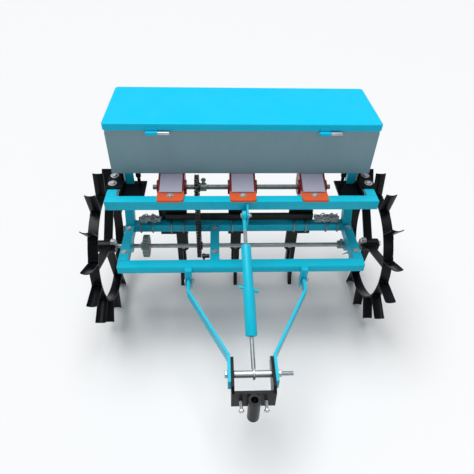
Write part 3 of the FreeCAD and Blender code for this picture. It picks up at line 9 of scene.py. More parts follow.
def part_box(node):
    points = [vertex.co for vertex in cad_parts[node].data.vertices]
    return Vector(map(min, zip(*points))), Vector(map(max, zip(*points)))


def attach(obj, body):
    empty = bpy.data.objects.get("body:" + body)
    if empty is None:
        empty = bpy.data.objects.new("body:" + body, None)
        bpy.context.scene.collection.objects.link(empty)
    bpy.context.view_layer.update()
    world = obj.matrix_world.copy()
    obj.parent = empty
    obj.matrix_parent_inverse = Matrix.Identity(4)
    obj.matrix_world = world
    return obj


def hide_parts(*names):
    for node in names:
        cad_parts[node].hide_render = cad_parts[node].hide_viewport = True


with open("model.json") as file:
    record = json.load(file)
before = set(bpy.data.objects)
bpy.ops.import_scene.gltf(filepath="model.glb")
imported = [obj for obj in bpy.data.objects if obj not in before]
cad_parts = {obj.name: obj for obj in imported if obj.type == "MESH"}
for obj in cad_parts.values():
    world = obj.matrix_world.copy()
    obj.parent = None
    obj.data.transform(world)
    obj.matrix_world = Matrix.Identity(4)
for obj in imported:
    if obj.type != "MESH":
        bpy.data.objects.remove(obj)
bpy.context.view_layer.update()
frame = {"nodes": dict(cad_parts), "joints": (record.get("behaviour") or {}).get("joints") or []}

cad = frame["nodes"]
joint_at = {joint["name"]: np.array(joint.get("pos_m", (0, 0, 0))) for joint in frame["joints"]}


# ---- blue frame tubes --------------------------------------------------------------------------
# The two bars of the lower frame, its side tubes and the middle tube, the upper bar with its arms,
# and the uprights: 40 mm square steel tube, welded and painted gloss sky blue.
ENAMEL_PEEL = 900.0        # orange peel cells per metre
RUBBED_EDGE = 0.0016       # how far wear reaches from an edge
TUBE_CORNER = 0.0022
PLATE_CORNER = 0.0012


def shader(material, kind, **values):
    """Adds one shader node to a material; numbers and colours go straight on its sockets."""
    made = material.node_tree.nodes.new(kind)
    for key, value in values.items():
        if key in made.inputs:
            made.inputs[key].default_value = value
        else:
            setattr(made, key, value)
    return made


def new_material(name):
    material = bpy.data.materials.new(name)
    material.use_nodes = True
    return material, material.node_tree.nodes["Principled BSDF"], material.node_tree.links.new


def noise(material, scale, detail=3.0, stretch=(1.0, 1.0, 1.0)):
    """Noise laid in the piece's own coordinates, stretched along an axis for brushed marks."""
    place = shader(material, "ShaderNodeTexCoord")
    spread = shader(material, "ShaderNodeMapping")
    spread.inputs["Scale"].default_value = stretch
    cloud = shader(material, "ShaderNodeTexNoise", Scale=scale, Detail=detail)
    link = material.node_tree.links.new
    link(place.outputs["Object"], spread.inputs["Vector"])
    link(spread.outputs["Vector"], cloud.inputs["Vector"])
    return cloud.outputs["Fac"]


def between(material, source, low, high, start=0.3, end=0.7):
    """Maps a noise value from start..end to low..high."""
    span = shader(material, "ShaderNodeMapRange", **{"From Min": start, "From Max": end,
                                                     "To Min": low, "To Max": high})
    material.node_tree.links.new(source, span.inputs["Value"])
    return span.outputs["Result"]


def mixed(material, amount, first, second):
    """One colour over another by an amount; each is a colour or another node's output."""
    mix = shader(material, "ShaderNodeMix", data_type="RGBA")
    link = material.node_tree.links.new
    link(amount, mix.inputs["Factor"])
    for socket, colour in ((mix.inputs[6], first), (mix.inputs[7], second)):
        if isinstance(colour, tuple):
            socket.default_value = (*colour, 1.0)
        else:
            link(colour, socket)
    return mix.outputs[2]


def bumped(material, height, strength, distance):
    """Small relief: a height goes through a bump node into the surface's normal."""
    bump = shader(material, "ShaderNodeBump", Strength=strength, Distance=distance)
    link = material.node_tree.links.new
    link(height, bump.inputs["Height"])
    link(bump.outputs["Normal"], material.node_tree.nodes["Principled BSDF"].inputs["Normal"])


def edge_wear(material, radius, low=0.55, high=0.68):
    """Worn spots along edges: where a rounded normal leaves the true one, broken up by noise."""
    soft = shader(material, "ShaderNodeBevel", samples=4, Radius=radius)
    true = shader(material, "ShaderNodeNewGeometry")
    dot = shader(material, "ShaderNodeVectorMath", operation="DOT_PRODUCT")
    spot = shader(material, "ShaderNodeMath", operation="MULTIPLY")
    link = material.node_tree.links.new
    link(soft.outputs["Normal"], dot.inputs[0])
    link(true.outputs["Normal"], dot.inputs[1])
    edge = between(material, dot.outputs["Value"], 1.0, 0.0, 0.88, 0.985)
    link(edge, spot.inputs[0])
    link(between(material, noise(material, 70.0, 6.0), 0.0, 1.0, low, high), spot.inputs[1])
    return spot.outputs["Value"]


def enamel(name, colour, rubbed, rough=(0.24, 0.40), coat=0.06, dust=(0.55, 0.53, 0.48), dusty=0.04,
           wear=(0.62, 0.74), shine=0.25):
    """Sprayed enamel: orange peel, uneven gloss, a little dust, and edges rubbed to another colour."""
    material, body, link = new_material(name)
    worn = edge_wear(material, RUBBED_EDGE, *wear)
    film = mixed(material, between(material, noise(material, 9.0, 5.0), 0.0, dusty), colour, dust)
    streak = between(material, noise(material, 30.0, 4.0, (1.0, 1.0, 0.25)), 0.0, 0.10, 0.45, 0.75)
    deep = tuple(0.72 * part for part in colour)
    film = mixed(material, streak, film, deep)
    link(mixed(material, worn, film, rubbed), body.inputs["Base Color"])
    link(between(material, noise(material, 14.0, 4.0), *rough), body.inputs["Roughness"])
    body.inputs["Coat Weight"].default_value = coat
    body.inputs["Specular IOR Level"].default_value = shine
    body.inputs["Coat Roughness"].default_value = 0.12
    bumped(material, noise(material, ENAMEL_PEEL, 2.0), 0.045, 0.0004)
    return material


blue_enamel = enamel("sky blue enamel", (0.0, 0.49, 0.67), (0.06, 0.32, 0.38), (0.26, 0.42), 0.04,
                     (0.35, 0.45, 0.45), 0.03, (0.66, 0.78), 0.20)


def finish_node(name, material, corner=0.0, segments=2):
    """Gives a CAD piece its material and rounds its sharp corners."""
    piece = cad[name]
    piece.data.materials.clear()
    piece.data.materials.append(material)
    piece.data.polygons.foreach_set("use_smooth", np.ones(len(piece.data.polygons), bool))
    if "custom_normal" in piece.data.attributes:
        piece.data.attributes.remove(piece.data.attributes["custom_normal"])
    weld = piece.modifiers.new("weld", "WELD")
    weld.merge_threshold = 2e-5
    flat = piece.modifiers.new("one face for each flat", "DECIMATE")
    flat.decimate_type = "DISSOLVE"
    flat.angle_limit = math.radians(0.5)
    if corner:
        bevel = piece.modifiers.new("rounded corners", "BEVEL")
        bevel.width = corner
        bevel.segments = segments
        bevel.limit_method = "ANGLE"
        bevel.angle_limit = math.radians(28)
    even = piece.modifiers.new("even shading", "WEIGHTED_NORMAL")
    even.keep_sharp = False
    return piece


FRAME_TUBES = ("lower_front_bar", "lower_rear_bar", "lower_side_tubes", "middle_tube",
               "upper_front_bar", "upper_side_arms", "uprights")
for tube in FRAME_TUBES:
    finish_node(tube, blue_enamel, TUBE_CORNER, 3)
for plate in ("shaft_bearings", "top_link_lug", "hanger_plates"):
    finish_node(plate, blue_enamel, PLATE_CORNER)


# ---- weld beads on the frame ---------------------------------------------------------------------
# The tubes are joined by hand-laid weld beads, painted over with the frame. A bead runs round each
# tube's end, each upright's foot and head, the arms, the drawbar's clips and the top link's lug.
BEAD = 0.0024
LUG_BEAD_FROM = 0.030      # the lug's bead starts above its lower corner
BEAD_SHORT = 0.002         # beads stop short of an edge


def solids(node):
    """The lowest and highest corners of each separate solid in a CAD piece, from left to right."""
    mesh = cad[node].data
    places = np.empty(len(mesh.vertices) * 3)
    mesh.vertices.foreach_get("co", places)
    places = places.reshape(-1, 3)
    ends = np.empty(len(mesh.edges) * 2, int)
    mesh.edges.foreach_get("vertices", ends)
    _, same = np.unique(np.round(places * 2e4).astype(int), axis=0, return_inverse=True)
    first, second = same.reshape(-1)[ends].reshape(-1, 2).T
    label = np.arange(same.max() + 1)
    while True:
        low = np.minimum(label[first], label[second])
        before = label.copy()
        np.minimum.at(label, first, low)
        np.minimum.at(label, second, low)
        label = label[label]
        if (label == before).all():
            break
    group = label[same.reshape(-1)]
    found = [(places[group == g].min(0), places[group == g].max(0)) for g in np.unique(group)]
    return sorted(found, key=lambda corners: tuple((corners[0] + corners[1]).round(4)))


def grid_faces(rows, columns, offset=0, close_rows=False, cap=True):
    """Four-sided faces of a grid that closes on itself across its columns, with its ends capped."""
    r = np.arange(rows if close_rows else rows - 1)[:, None]
    c = np.arange(columns)[None, :]
    nxt = (c + 1) % columns
    down = (r + 1) % rows
    quads = np.stack([r * columns + c, r * columns + nxt, down * columns + nxt, down * columns + c], -1)
    faces = (quads.reshape(-1, 4) + offset).tolist()
    if cap and not close_rows:
        faces.append([offset + k for k in reversed(range(columns))])
        faces.append([offset + (rows - 1) * columns + k for k in range(columns)])
    return faces


def frame_of(direction):
    """Two directions square to a given one."""
    along = np.asarray(direction, float)
    along = along / np.linalg.norm(along)
    helper = np.array((0.0, 0.0, 1.0)) if abs(along[2]) < 0.9 else np.array((1.0, 0.0, 0.0))
    side = np.cross(helper, along)
    side /= np.linalg.norm(side)
    return along, side, np.cross(along, side)


def carried(path, profile, closed=False, scale=None):
    """A profile (a, b) carried along a path: p = path + s (a side + b up), with s changing on the way."""
    path = np.asarray(path, float)
    step = np.roll(path, -1, 0) - np.roll(path, 1, 0) if closed else np.gradient(path, axis=0)
    step /= np.linalg.norm(step, axis=1)[:, None]
    _, side, up = frame_of(step[0])
    sides = [side]
    for k in range(1, len(path)):
        side = sides[-1] - np.dot(sides[-1], step[k]) * step[k]
        sides.append(side / np.linalg.norm(side))
    sides = np.array(sides)
    ups = np.cross(step, sides)
    profile = np.asarray(profile, float)
    size = np.ones(len(path)) if scale is None else scale
    points = (path[:, None] + size[:, None, None] * (profile[None, :, :1] * sides[:, None]
                                                      + profile[None, :, 1:] * ups[:, None]))
    return points.reshape(-1, 3), grid_faces(len(path), len(profile), 0, closed)


def circle(radius, count=12):
    t = np.linspace(0, 2 * np.pi, count, endpoint=False)
    return np.stack([radius * np.cos(t), radius * np.sin(t)], 1)


def placed(name, data):
    """A new object with this data, in the scene."""
    piece = bpy.data.objects.new(name, data)
    bpy.context.scene.collection.objects.link(piece)
    return piece


def make_piece(name, parts, material, body, slot_name, *nodes):
    """One Blender object from several (points, faces) parts, riding on its body."""
    points, faces, base = [], [], 0
    for part_points, part_faces in parts:
        points.append(part_points)
        faces += [[index + base for index in face] for face in part_faces]
        base += len(part_points)
    mesh = bpy.data.meshes.new(name)
    mesh.from_pydata(np.concatenate(points).tolist(), [], faces)
    mesh.materials.append(material)
    mesh.polygons.foreach_set("use_smooth", np.ones(len(faces), bool))
    mesh.update()
    piece = placed(name, mesh)
    mesh.set_sharp_from_angle(angle=math.radians(38))
    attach(piece, body)
    if nodes:
        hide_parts(*nodes)
    return piece


def bead(corners, radius=BEAD, ripple=0.0021):
    """A bead along a line of corners: a circle carried along it whose size ripples as it goes."""
    corners = np.asarray(corners, float)
    parts = []
    for start, end in zip(corners[:-1], corners[1:]):
        length = np.linalg.norm(end - start)
        s = np.linspace(0, 1, max(int(length / 0.0007), 6))
        line = start + (end - start) * s[:, None]
        swell = 1 + 0.10 * np.sin(2 * np.pi * s * length / ripple) + 0.05 * np.sin(41 * s + 70 * start[0])
        swell[0] = swell[-1] = 0.4
        parts.append(carried(line, circle(radius, 8), scale=swell))
    return parts


beads = []
for tube_low, tube_high in solids("lower_side_tubes") + solids("middle_tube"):
    for y in (tube_low[1], tube_high[1]):
        beads += bead([(tube_low[0], y, tube_low[2]), (tube_low[0], y, tube_high[2]),
                       (tube_high[0], y, tube_high[2]), (tube_high[0], y, tube_low[2])])
TUBE_SIDE = 0.040
for low, high in solids("uprights"):
    foot_back = low[1] + TUBE_SIDE
    beads += bead([(low[0], low[1], low[2]), (high[0], low[1], low[2]), (high[0], foot_back, low[2]),
                   (low[0], foot_back, low[2]), (low[0], low[1], low[2])])
    head_front = high[1] - TUBE_SIDE
    beads += bead([(low[0], head_front, high[2]), (high[0], head_front, high[2]),
                   (high[0], high[1], high[2]), (low[0], high[1], high[2]), (low[0], head_front, high[2])])
ARM_BEAD = 0.0014
for low, high in solids("upper_side_arms"):
    if high[1] - low[1] > TUBE_SIDE / 2:
        beads += bead([(low[0], low[1], low[2]), (low[0], low[1], high[2]), (high[0], low[1], high[2]),
                       (high[0], low[1], low[2])], ARM_BEAD)
frame_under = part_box("lower_rear_bar")[0][2]
for low, high in solids("drawbar_clips"):
    for x in (low[0], high[0]):
        beads += bead([(x, high[1], frame_under + BEAD_SHORT), (x, high[1], high[2])])
lug_low, lug_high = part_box("top_link_lug")
for x in (lug_low[0], lug_high[0]):
    beads += bead([(x, lug_high[1], lug_low[2] + LUG_BEAD_FROM), (x, lug_high[1], lug_high[2] - BEAD_SHORT)])
make_piece("frame_welds", beads, blue_enamel, "frame", "blue_paint")


# ---- ground wheels -------------------------------------------------------------------------------
# Rolled steel bands with three flat spokes, riveted lugs that are hollow across, and round hubs,
# all in gloss black, a little scuffed along their edges.
black_enamel = enamel("gloss black enamel", (0.0025, 0.003, 0.0050), (0.12, 0.13, 0.14), (0.24, 0.38), 0.0,
                      (0.03, 0.03, 0.03), 0.05, (0.60, 0.74), 0.16)
for part in ("wheel_rim_left", "wheel_rim_right", "wheel_lugs_left", "wheel_lugs_right"):
    finish_node(part, black_enamel, 0.0008)
finish_node("wheel_hubs", black_enamel, 0.0018, 3)


def turned_grid(start, direction, profile, around=24, corners=0):
    """Every point of a profile (height, radius) turned about a line: p = start + h d + r (cos t, sin t).
    With corners the radius follows a regular polygon: r cos(pi/n) / cos(t within one side)."""
    along, side, up = frame_of(direction)
    t = np.linspace(0, 2 * np.pi, around, endpoint=False)
    height, radius = np.array(profile, float).T
    shape = np.ones_like(t)
    if corners:
        part = np.pi / corners
        shape = np.cos(part) / np.cos((t % (2 * part)) - part)
    reach = radius[:, None] * shape[None, :]
    if corners:
        reach = np.minimum(reach, radius[:, None] * 0.965)
    ring = np.cos(t)[:, None] * side + np.sin(t)[:, None] * up
    points = np.asarray(start) + height[:, None, None] * along + reach[:, :, None] * ring[None]
    return points.reshape(-1, 3), grid_faces(len(height), around)


def turned_ring(start, direction, profile, around):
    """The same for a profile that closes on itself: a ring with a bore through it."""
    return turned_grid(start, direction, profile, around)[0], grid_faces(len(profile), around, 0, True)


RIVET_RADIUS = 0.0045
RIVET_SUNK = 0.0015        # the dome's rim below the middle of its head
RIVET_DOME = 0.0027
rivets = []
axle_at = joint_at["axle"]
for low, high in solids("lug_rivets"):
    centre = (low + high) / 2
    outward = centre - axle_at
    outward[0] = 0.0
    outward /= np.linalg.norm(outward)
    a = np.linspace(0, np.pi / 2, 6)
    dome = [(-RIVET_SUNK, RIVET_RADIUS)]
    dome += [(0.8 * -RIVET_SUNK + RIVET_DOME * np.sin(k), RIVET_RADIUS * np.cos(k) + 1e-5) for k in a]
    rivets.append(turned_grid(centre, outward, dome, 16))
make_piece("wheel_rivets", rivets, black_enamel, "axle", "black_paint", "lug_rivets")

wheel_beads = []
SPOKES = 3
SPOKE_FIRST = math.radians(20.0)
SPOKE_HALF = 0.004
SPOKE_BEAD_HALF = 0.019
SPOKE_BEAD = 0.0022
RIM_THICK = 0.0062
HUB_REACH = 0.0290
for rim in ("wheel_rim_left", "wheel_rim_right"):
    low, high = map(np.array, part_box(rim))
    inside = (high[2] - low[2]) / 2 - RIM_THICK
    middle = (low[0] + high[0]) / 2
    for k in range(SPOKES):
        angle = SPOKE_FIRST + 2 * math.pi * k / SPOKES
        out = np.array((0.0, -math.cos(angle), math.sin(angle)))
        flat = np.array((0.0, math.sin(angle), math.cos(angle)))
        for reach in (inside, HUB_REACH):
            for face in (-SPOKE_HALF, SPOKE_HALF):
                start = axle_at + out * reach + flat * face
                wheel_beads += bead([(middle - SPOKE_BEAD_HALF, *start[1:]),
                                     (middle + SPOKE_BEAD_HALF, *start[1:])], SPOKE_BEAD)
make_piece("wheel_welds", wheel_beads, black_enamel, "axle", "black_paint")


# ---- bolts and nuts ------------------------------------------------------------------------------
# Zinc-plated hexagon bolts with flat washers and thread showing past their nuts.
def metal(name, colour, rough, spots, spotty=0.3, brushed=(1.0, 1.0, 1.0), bump_size=0.05):
    """Bare or plated metal: brushed unevenness in the gloss and a scatter of dull spots."""
    material, body, link = new_material(name)
    amount = between(material, noise(material, 55.0, 6.0), 0.0, spotty, 0.48, 0.70)
    link(mixed(material, amount, colour, spots), body.inputs["Base Color"])
    body.inputs["Metallic"].default_value = 1.0
    link(between(material, noise(material, 120.0, 3.0, brushed), *rough), body.inputs["Roughness"])
    bumped(material, noise(material, 420.0, 3.0, brushed), bump_size, 0.0003)
    return material


zinc = metal("zinc plate", (0.56, 0.58, 0.60), (0.38, 0.58), (0.40, 0.38, 0.33))
BOLT_R = 0.006
HEAD_ROOM = 1.2 * BOLT_R   # about the height of a head with its washer, or of a nut


def hexagon_parts(start, direction, thick, radius):
    """A hexagon with its corners taken off by a cone at both ends."""
    cut = 0.10 * radius
    profile = [(0.0, 0.86 * radius), (cut, radius), (thick - cut, radius), (thick, 0.86 * radius),
               (thick, 0.80 * radius), (thick - 0.25 * cut, 0.78 * radius)]
    return turned_grid(start, direction, profile, 48, 6)


def thread_parts(start, direction, length, radius, pitch=0.00175, around=20):
    """Screw thread: radius r - h |saw(s / pitch + t / 2 pi)| on a cylinder."""
    along, side, up = frame_of(direction)
    s = np.linspace(0, length, max(int(length / pitch * 6), 8))
    t = np.linspace(0, 2 * np.pi, around, endpoint=False)
    turn = (s[:, None] / pitch + t[None, :] / (2 * np.pi)) % 1.0
    reach = radius - 0.55 * pitch * np.abs(2 * turn - 1) ** 1.3
    taper = np.clip(np.minimum(s, length - s) / 0.0012, 0.0, 1.0)[:, None]
    reach = reach - (1 - taper) * 0.0006
    ring = np.cos(t)[:, None] * side + np.sin(t)[:, None] * up
    points = np.asarray(start) + s[:, None, None] * along + reach[:, :, None] * ring[None]
    return points.reshape(-1, 3), grid_faces(len(s), around)


def washer_parts(start, direction, thick, radius):
    soft = 0.25 * thick
    profile = [(0.0, radius - soft), (soft, radius), (thick - soft, radius), (thick, radius - soft),
               (thick, 0.4 * radius)]
    return turned_grid(start, direction, profile, 36)


def through_bolt(head_face, nut_face, radius, washer=0.0, tail=0.006):
    """A whole bolt: washer and head on one face, nut and thread end beyond the other."""
    head_face = np.asarray(head_face, float)
    nut_face = np.asarray(nut_face, float)
    out = head_face - nut_face
    out /= np.linalg.norm(out)
    parts = []
    seat = head_face
    if washer:
        parts.append(washer_parts(seat, out, radius / 3, washer))
        seat = seat + out * radius / 3
    parts.append(hexagon_parts(seat, out, 0.9 * radius, 1.75 * radius))
    parts.append(hexagon_parts(nut_face, -out, 1.15 * radius, 1.75 * radius))
    parts.append(thread_parts(nut_face - out * 1.1 * radius, -out, tail, radius * 0.97))
    length = np.linalg.norm(head_face - nut_face) + 1.3 * radius
    parts.append(turned_grid(nut_face - out * 1.2 * radius, out, [(0, radius), (length, radius)], 20))
    return parts


bolt_parts = []
for node in ("frame_bolts", "meter_bolts", "bracket_bolts"):
    for low, high in solids(node):
        middle = (low + high) / 2
        wide = (high[0] - low[0]) / 2
        bolt_parts += through_bolt((*middle[:2], high[2] - HEAD_ROOM), (*middle[:2], low[2] + HEAD_ROOM),
                                   BOLT_R, wide - 0.0002, 0.0005)
make_piece("frame_and_bracket_bolts", bolt_parts, zinc, "frame", "zinc", "frame_bolts", "meter_bolts",
           "bracket_bolts")


# ---- wheel hub bolts -----------------------------------------------------------------------------
# A clamping bolt on each hub and a nut on each end of the cross shaft, zinc plated.
HUB_BOLT_HEAD = 0.0078
HUB_BOLT_HEAD_R = 0.0098
HUB_SHANK_SHORT = 0.004    # the shank ends inside the head
END_NUT_R = 0.0168
hub_parts = []
for low, high in solids("hub_bolts"):
    middle = (low + high) / 2
    if high[0] - low[0] < 0.0145:
        hub_parts.append(hexagon_parts((middle[0], middle[1], high[2] - HUB_BOLT_HEAD), (0, 0, 1),
                                       HUB_BOLT_HEAD, HUB_BOLT_HEAD_R))
        hub_parts.append(turned_grid((middle[0], middle[1], low[2]), (0, 0, 1),
                                     [(0, BOLT_R), (high[2] - low[2] - HUB_SHANK_SHORT, BOLT_R)], 20))
    else:
        hub_parts.append(hexagon_parts((low[0], middle[1], middle[2]), (1, 0, 0), high[0] - low[0],
                                       END_NUT_R))
make_piece("hub_bolts_and_nuts", hub_parts, zinc, "axle", "zinc", "hub_bolts")


# ---- cross shaft with its wheel and collar -------------------------------------------------------
# Bright drawn bar that turns with the ground wheels; on it a cast grooved wheel and a collar.
shaft_steel = metal("drawn steel", (0.40, 0.42, 0.42), (0.36, 0.56), (0.24, 0.21, 0.17), 0.45,
                    (0.15, 6.0, 6.0))
cast_grey = metal("grey casting", (0.25, 0.30, 0.29), (0.42, 0.66), (0.13, 0.12, 0.10), 0.5,
                  (1.0, 1.0, 1.0), 0.25)
finish_node("cross_shaft", shaft_steel, 0.0010)
finish_node("shaft_collar", cast_grey, 0.0010)
finish_node("gear_wheel", cast_grey, 0.0007)


# ---- sprockets -----------------------------------------------------------------------------------
# Steel sprockets with 20 teeth below and 18 above for a 15.875 mm pitch chain; the roller seats
# are arcs and the flanks run out to narrow tips.
CHAIN_PITCH = 0.015875
ROLLER_R = 0.00508
SEAT_R = 0.0053
TOOTH_OUT = 0.0044
TOOTH_TIP = 0.0007
SPROCKET_HALF = 0.0044
SPROCKET_HUB_R = 0.0188
SHAFT_BORE_R = 0.01005
AXLE_TEETH = 20
METER_TEETH = 18
chain_steel = metal("oiled black steel", (0.060, 0.058, 0.060), (0.30, 0.50), (0.14, 0.10, 0.07), 0.4)


def sprocket_outline(teeth, per_tooth=24):
    """Radius round the rim, from roller seat to tip: r = R cos p - sqrt(s^2 - R^2 sin^2 p) in the seat,
    then a smooth step out to the tip."""
    pitch_r = CHAIN_PITCH / 2 / math.sin(math.pi / teeth)
    p = np.linspace(-math.pi / teeth, math.pi / teeth, per_tooth, endpoint=False)
    seat_edge = math.asin(0.0049 / pitch_r)
    tip_edge = math.pi / teeth - TOOTH_TIP / pitch_r
    inside = np.clip(np.abs(p), 0, seat_edge)
    seat = pitch_r * np.cos(inside) - np.sqrt(SEAT_R ** 2 - (pitch_r * np.sin(inside)) ** 2)
    out = np.clip((np.abs(p) - seat_edge) / (tip_edge - seat_edge), 0, 1) ** 0.8
    one = seat + (pitch_r + TOOTH_OUT - seat) * out
    t = (np.arange(teeth)[:, None] * 2 * math.pi / teeth + p[None, :]).reshape(-1)
    return t, np.tile(one, teeth)


def sprocket_parts(centre, teeth, first, hub_from, hub_to, hub_r, bore_r):
    """A toothed plate whose rim is thinned at the tips, with a hub on one side."""
    t, reach = sprocket_outline(teeth)
    t = t + first
    rows = ((-SPROCKET_HALF * 0.55, 1.0), (-SPROCKET_HALF, 0.90), (-SPROCKET_HALF, 0.40),
            (-SPROCKET_HALF, bore_r), (SPROCKET_HALF, bore_r), (SPROCKET_HALF, 0.40),
            (SPROCKET_HALF, 0.90), (SPROCKET_HALF * 0.55, 1.0))
    rings = []
    for x, size in rows:
        r = reach * size if size >= 0.4 else np.full_like(reach, size)
        rings.append(np.stack([np.full_like(r, centre[0] + x), centre[1] + r * np.cos(t),
                               centre[2] + r * np.sin(t)], 1))
    points = np.concatenate(rings)
    faces = grid_faces(len(rows), len(t), 0, True)
    hub = [(0, bore_r), (0, hub_r - 0.001), (0.001, hub_r), (hub_to - hub_from - 0.001, hub_r),
           (hub_to - hub_from, hub_r - 0.001), (hub_to - hub_from, bore_r)]
    return [(points, faces), turned_ring((hub_from, centre[1], centre[2]), (1, 0, 0), hub, 40)]


meter_at = joint_at["metering"]
chain_low, chain_high = map(np.array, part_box("drive_chain"))
chain_x = (chain_low[0] + chain_high[0]) / 2
axle_pitch_r = CHAIN_PITCH / 2 / math.sin(math.pi / AXLE_TEETH)
meter_pitch_r = CHAIN_PITCH / 2 / math.sin(math.pi / METER_TEETH)


# ---- drive chain ---------------------------------------------------------------------------------
# Single roller chain from the cross shaft up to the metering shaft: pairs of waisted plates,
# rollers between them, riveted pins, and one cranked link that joins its ends; oiled black.
PLATE_HALF = 0.0070
PLATE_WAIST = 0.0052
PLATE_THICK = 0.0016
INNER_X = 0.0049
OUTER_X = 0.0067
PIN_R = 0.0025
PIN_HALF = 0.0096
ROLLER_EDGE = 0.0006

rise = meter_at[2] - axle_at[2]
lean = (axle_pitch_r - meter_pitch_r) / rise
lean_angle = math.asin(lean)
straight = rise * math.cos(lean_angle)
low_arc = axle_pitch_r * (math.pi + 2 * lean_angle)
high_arc = meter_pitch_r * (math.pi - 2 * lean_angle)
chain_length = 2 * straight + low_arc + high_arc
link_count = int(round(chain_length / CHAIN_PITCH))


def chain_point(s):
    """The place on the pitch line after s metres: round the lower sprocket, up, over and down."""
    s = s % chain_length
    if s < low_arc:
        a = math.pi - lean_angle + s / axle_pitch_r
        return axle_at[1] + axle_pitch_r * math.cos(a), axle_at[2] + axle_pitch_r * math.sin(a)
    s -= low_arc
    if s < straight:
        start = (axle_at[1] + axle_pitch_r * math.cos(lean_angle),
                 axle_at[2] + axle_pitch_r * math.sin(lean_angle))
        return start[0] - s * math.sin(lean_angle), start[1] + s * math.cos(lean_angle)
    s -= straight
    if s < high_arc:
        a = lean_angle + s / meter_pitch_r
        return meter_at[1] + meter_pitch_r * math.cos(a), meter_at[2] + meter_pitch_r * math.sin(a)
    s -= high_arc
    a = math.pi - lean_angle
    start = (meter_at[1] + meter_pitch_r * math.cos(a), meter_at[2] + meter_pitch_r * math.sin(a))
    return start[0] - s * math.sin(lean_angle), start[1] - s * math.cos(lean_angle)


def link_plate(first, second, x0, x1, crank=0.0):
    """A waisted plate between two pins: half width w + (h - w) |cos| along it, round at its ends.
    A cranked plate steps sideways by a smooth step in its middle."""
    first, second = np.asarray(first), np.asarray(second)
    along = (second - first) / np.linalg.norm(second - first)
    square = np.array((-along[1], along[0]))
    length = np.linalg.norm(second - first)
    t = np.linspace(-np.pi / 2, np.pi / 2, 9)
    u = np.linspace(0.15, 0.85, 7)
    side = PLATE_WAIST + (PLATE_HALF - PLATE_WAIST) * np.abs(np.cos(np.pi * u)) ** 1.5
    outline = ([(length + PLATE_HALF * np.cos(k), PLATE_HALF * np.sin(k)) for k in t]
               + [(length * k, w) for k, w in zip(u[::-1], side[::-1])]
               + [(-PLATE_HALF * np.cos(k), PLATE_HALF * np.sin(k)) for k in t[::-1]]
               + [(length * k, -w) for k, w in zip(u, side)])
    outline = np.array(outline)
    rings = []
    middle = (first + second) / 2
    for x, size in ((x0, 0.93), (x0 + 0.0003, 1.0), (x1 - 0.0003, 1.0), (x1, 0.93)):
        flat = first + outline[:, :1] * along + outline[:, 1:] * square
        flat = middle + (flat - middle) * size
        go = np.clip(outline[:, 0] / length * 2 - 0.5, 0, 1)
        rings.append(np.column_stack([chain_x + x + crank * go * go * (3 - 2 * go), flat]))
    return np.concatenate(rings), grid_faces(4, len(outline))


step = chain_length / link_count
pins = [np.array(chain_point((k + 0.5) * step)) for k in range(link_count)]
links = []
for k, pin in enumerate(pins):
    following = pins[(k + 1) % link_count]
    x = INNER_X if k % 2 else OUTER_X
    step_in = INNER_X - OUTER_X if k == link_count - 1 else 0.0
    for side in (-1, 1):
        a, b = sorted((side * x, side * (x + PLATE_THICK)))
        links.append(link_plate(pin, following, a, b, side * step_in))
    links.append(turned_grid((chain_x - INNER_X + 0.0002, *pin), (1, 0, 0),
                             [(0, ROLLER_R - ROLLER_EDGE), (ROLLER_EDGE, ROLLER_R),
                              (2 * INNER_X - 0.0004 - ROLLER_EDGE, ROLLER_R),
                              (2 * INNER_X - 0.0004, ROLLER_R - ROLLER_EDGE)], 20))
    links.append(turned_grid((chain_x - PIN_HALF, *pin), (1, 0, 0),
                             [(0, PIN_R * 0.6), (0.0004, PIN_R), (2 * PIN_HALF - 0.0004, PIN_R),
                              (2 * PIN_HALF, PIN_R * 0.6)], 12))
make_piece("roller_chain", links, chain_steel, "frame", "chain_steel", "drive_chain")


def phase_for(centre, pitch_r, teeth):
    """The turn that puts tooth gaps under the rollers lying on a sprocket."""
    on_it = [math.atan2(p[1] - centre[2], p[0] - centre[1]) for p in pins
             if abs(math.hypot(p[0] - centre[1], p[1] - centre[2]) - pitch_r) < 2e-4]
    turn = np.exp(1j * np.array(on_it) * teeth).mean()
    return math.atan2(turn.imag, turn.real) / teeth


for node, centre, pitch_r, teeth in (("lower_sprocket", axle_at, axle_pitch_r, AXLE_TEETH),
                                     ("upper_sprocket", meter_at, meter_pitch_r, METER_TEETH)):
    low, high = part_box(node)
    place = (chain_x, centre[1], centre[2])
    body = "axle" if node == "lower_sprocket" else "metering"
    parts = sprocket_parts(place, teeth, phase_for(place, pitch_r, teeth), chain_x + SPROCKET_HALF, high[0],
                           SPROCKET_HUB_R, SHAFT_BORE_R)
    make_piece(node + "_toothed", parts, chain_steel, body, "chain_steel", node)
finish_node("chain_tensioner", chain_steel, 0.0008)


# ---- seed meters ---------------------------------------------------------------------------------
# Cast housings bolted on the upper bar by an orange flange, with dark red painted shade on the
# casting behind it; each has a bent pale cover up to the hopper and a fluted roller inside on the
# metering shaft.
# Where the flange ends, the casting turns to dark red painted shade, blended in over a few millimetres.
PAINTED_SHADE_FROM = 0.163           # where the flange ends, along y
PAINTED_SHADE_BLEND = 0.004
orange_enamel = enamel("orange enamel", (0.68, 0.094, 0.020), (0.24, 0.18, 0.16), (0.26, 0.42), 0.05,
                       (0.45, 0.35, 0.28), 0.06)
grey_cover = enamel("pale grey cover paint", (0.36, 0.36, 0.46), (0.20, 0.20, 0.22), (0.30, 0.46), 0.05,
                    (0.30, 0.29, 0.28), 0.10)


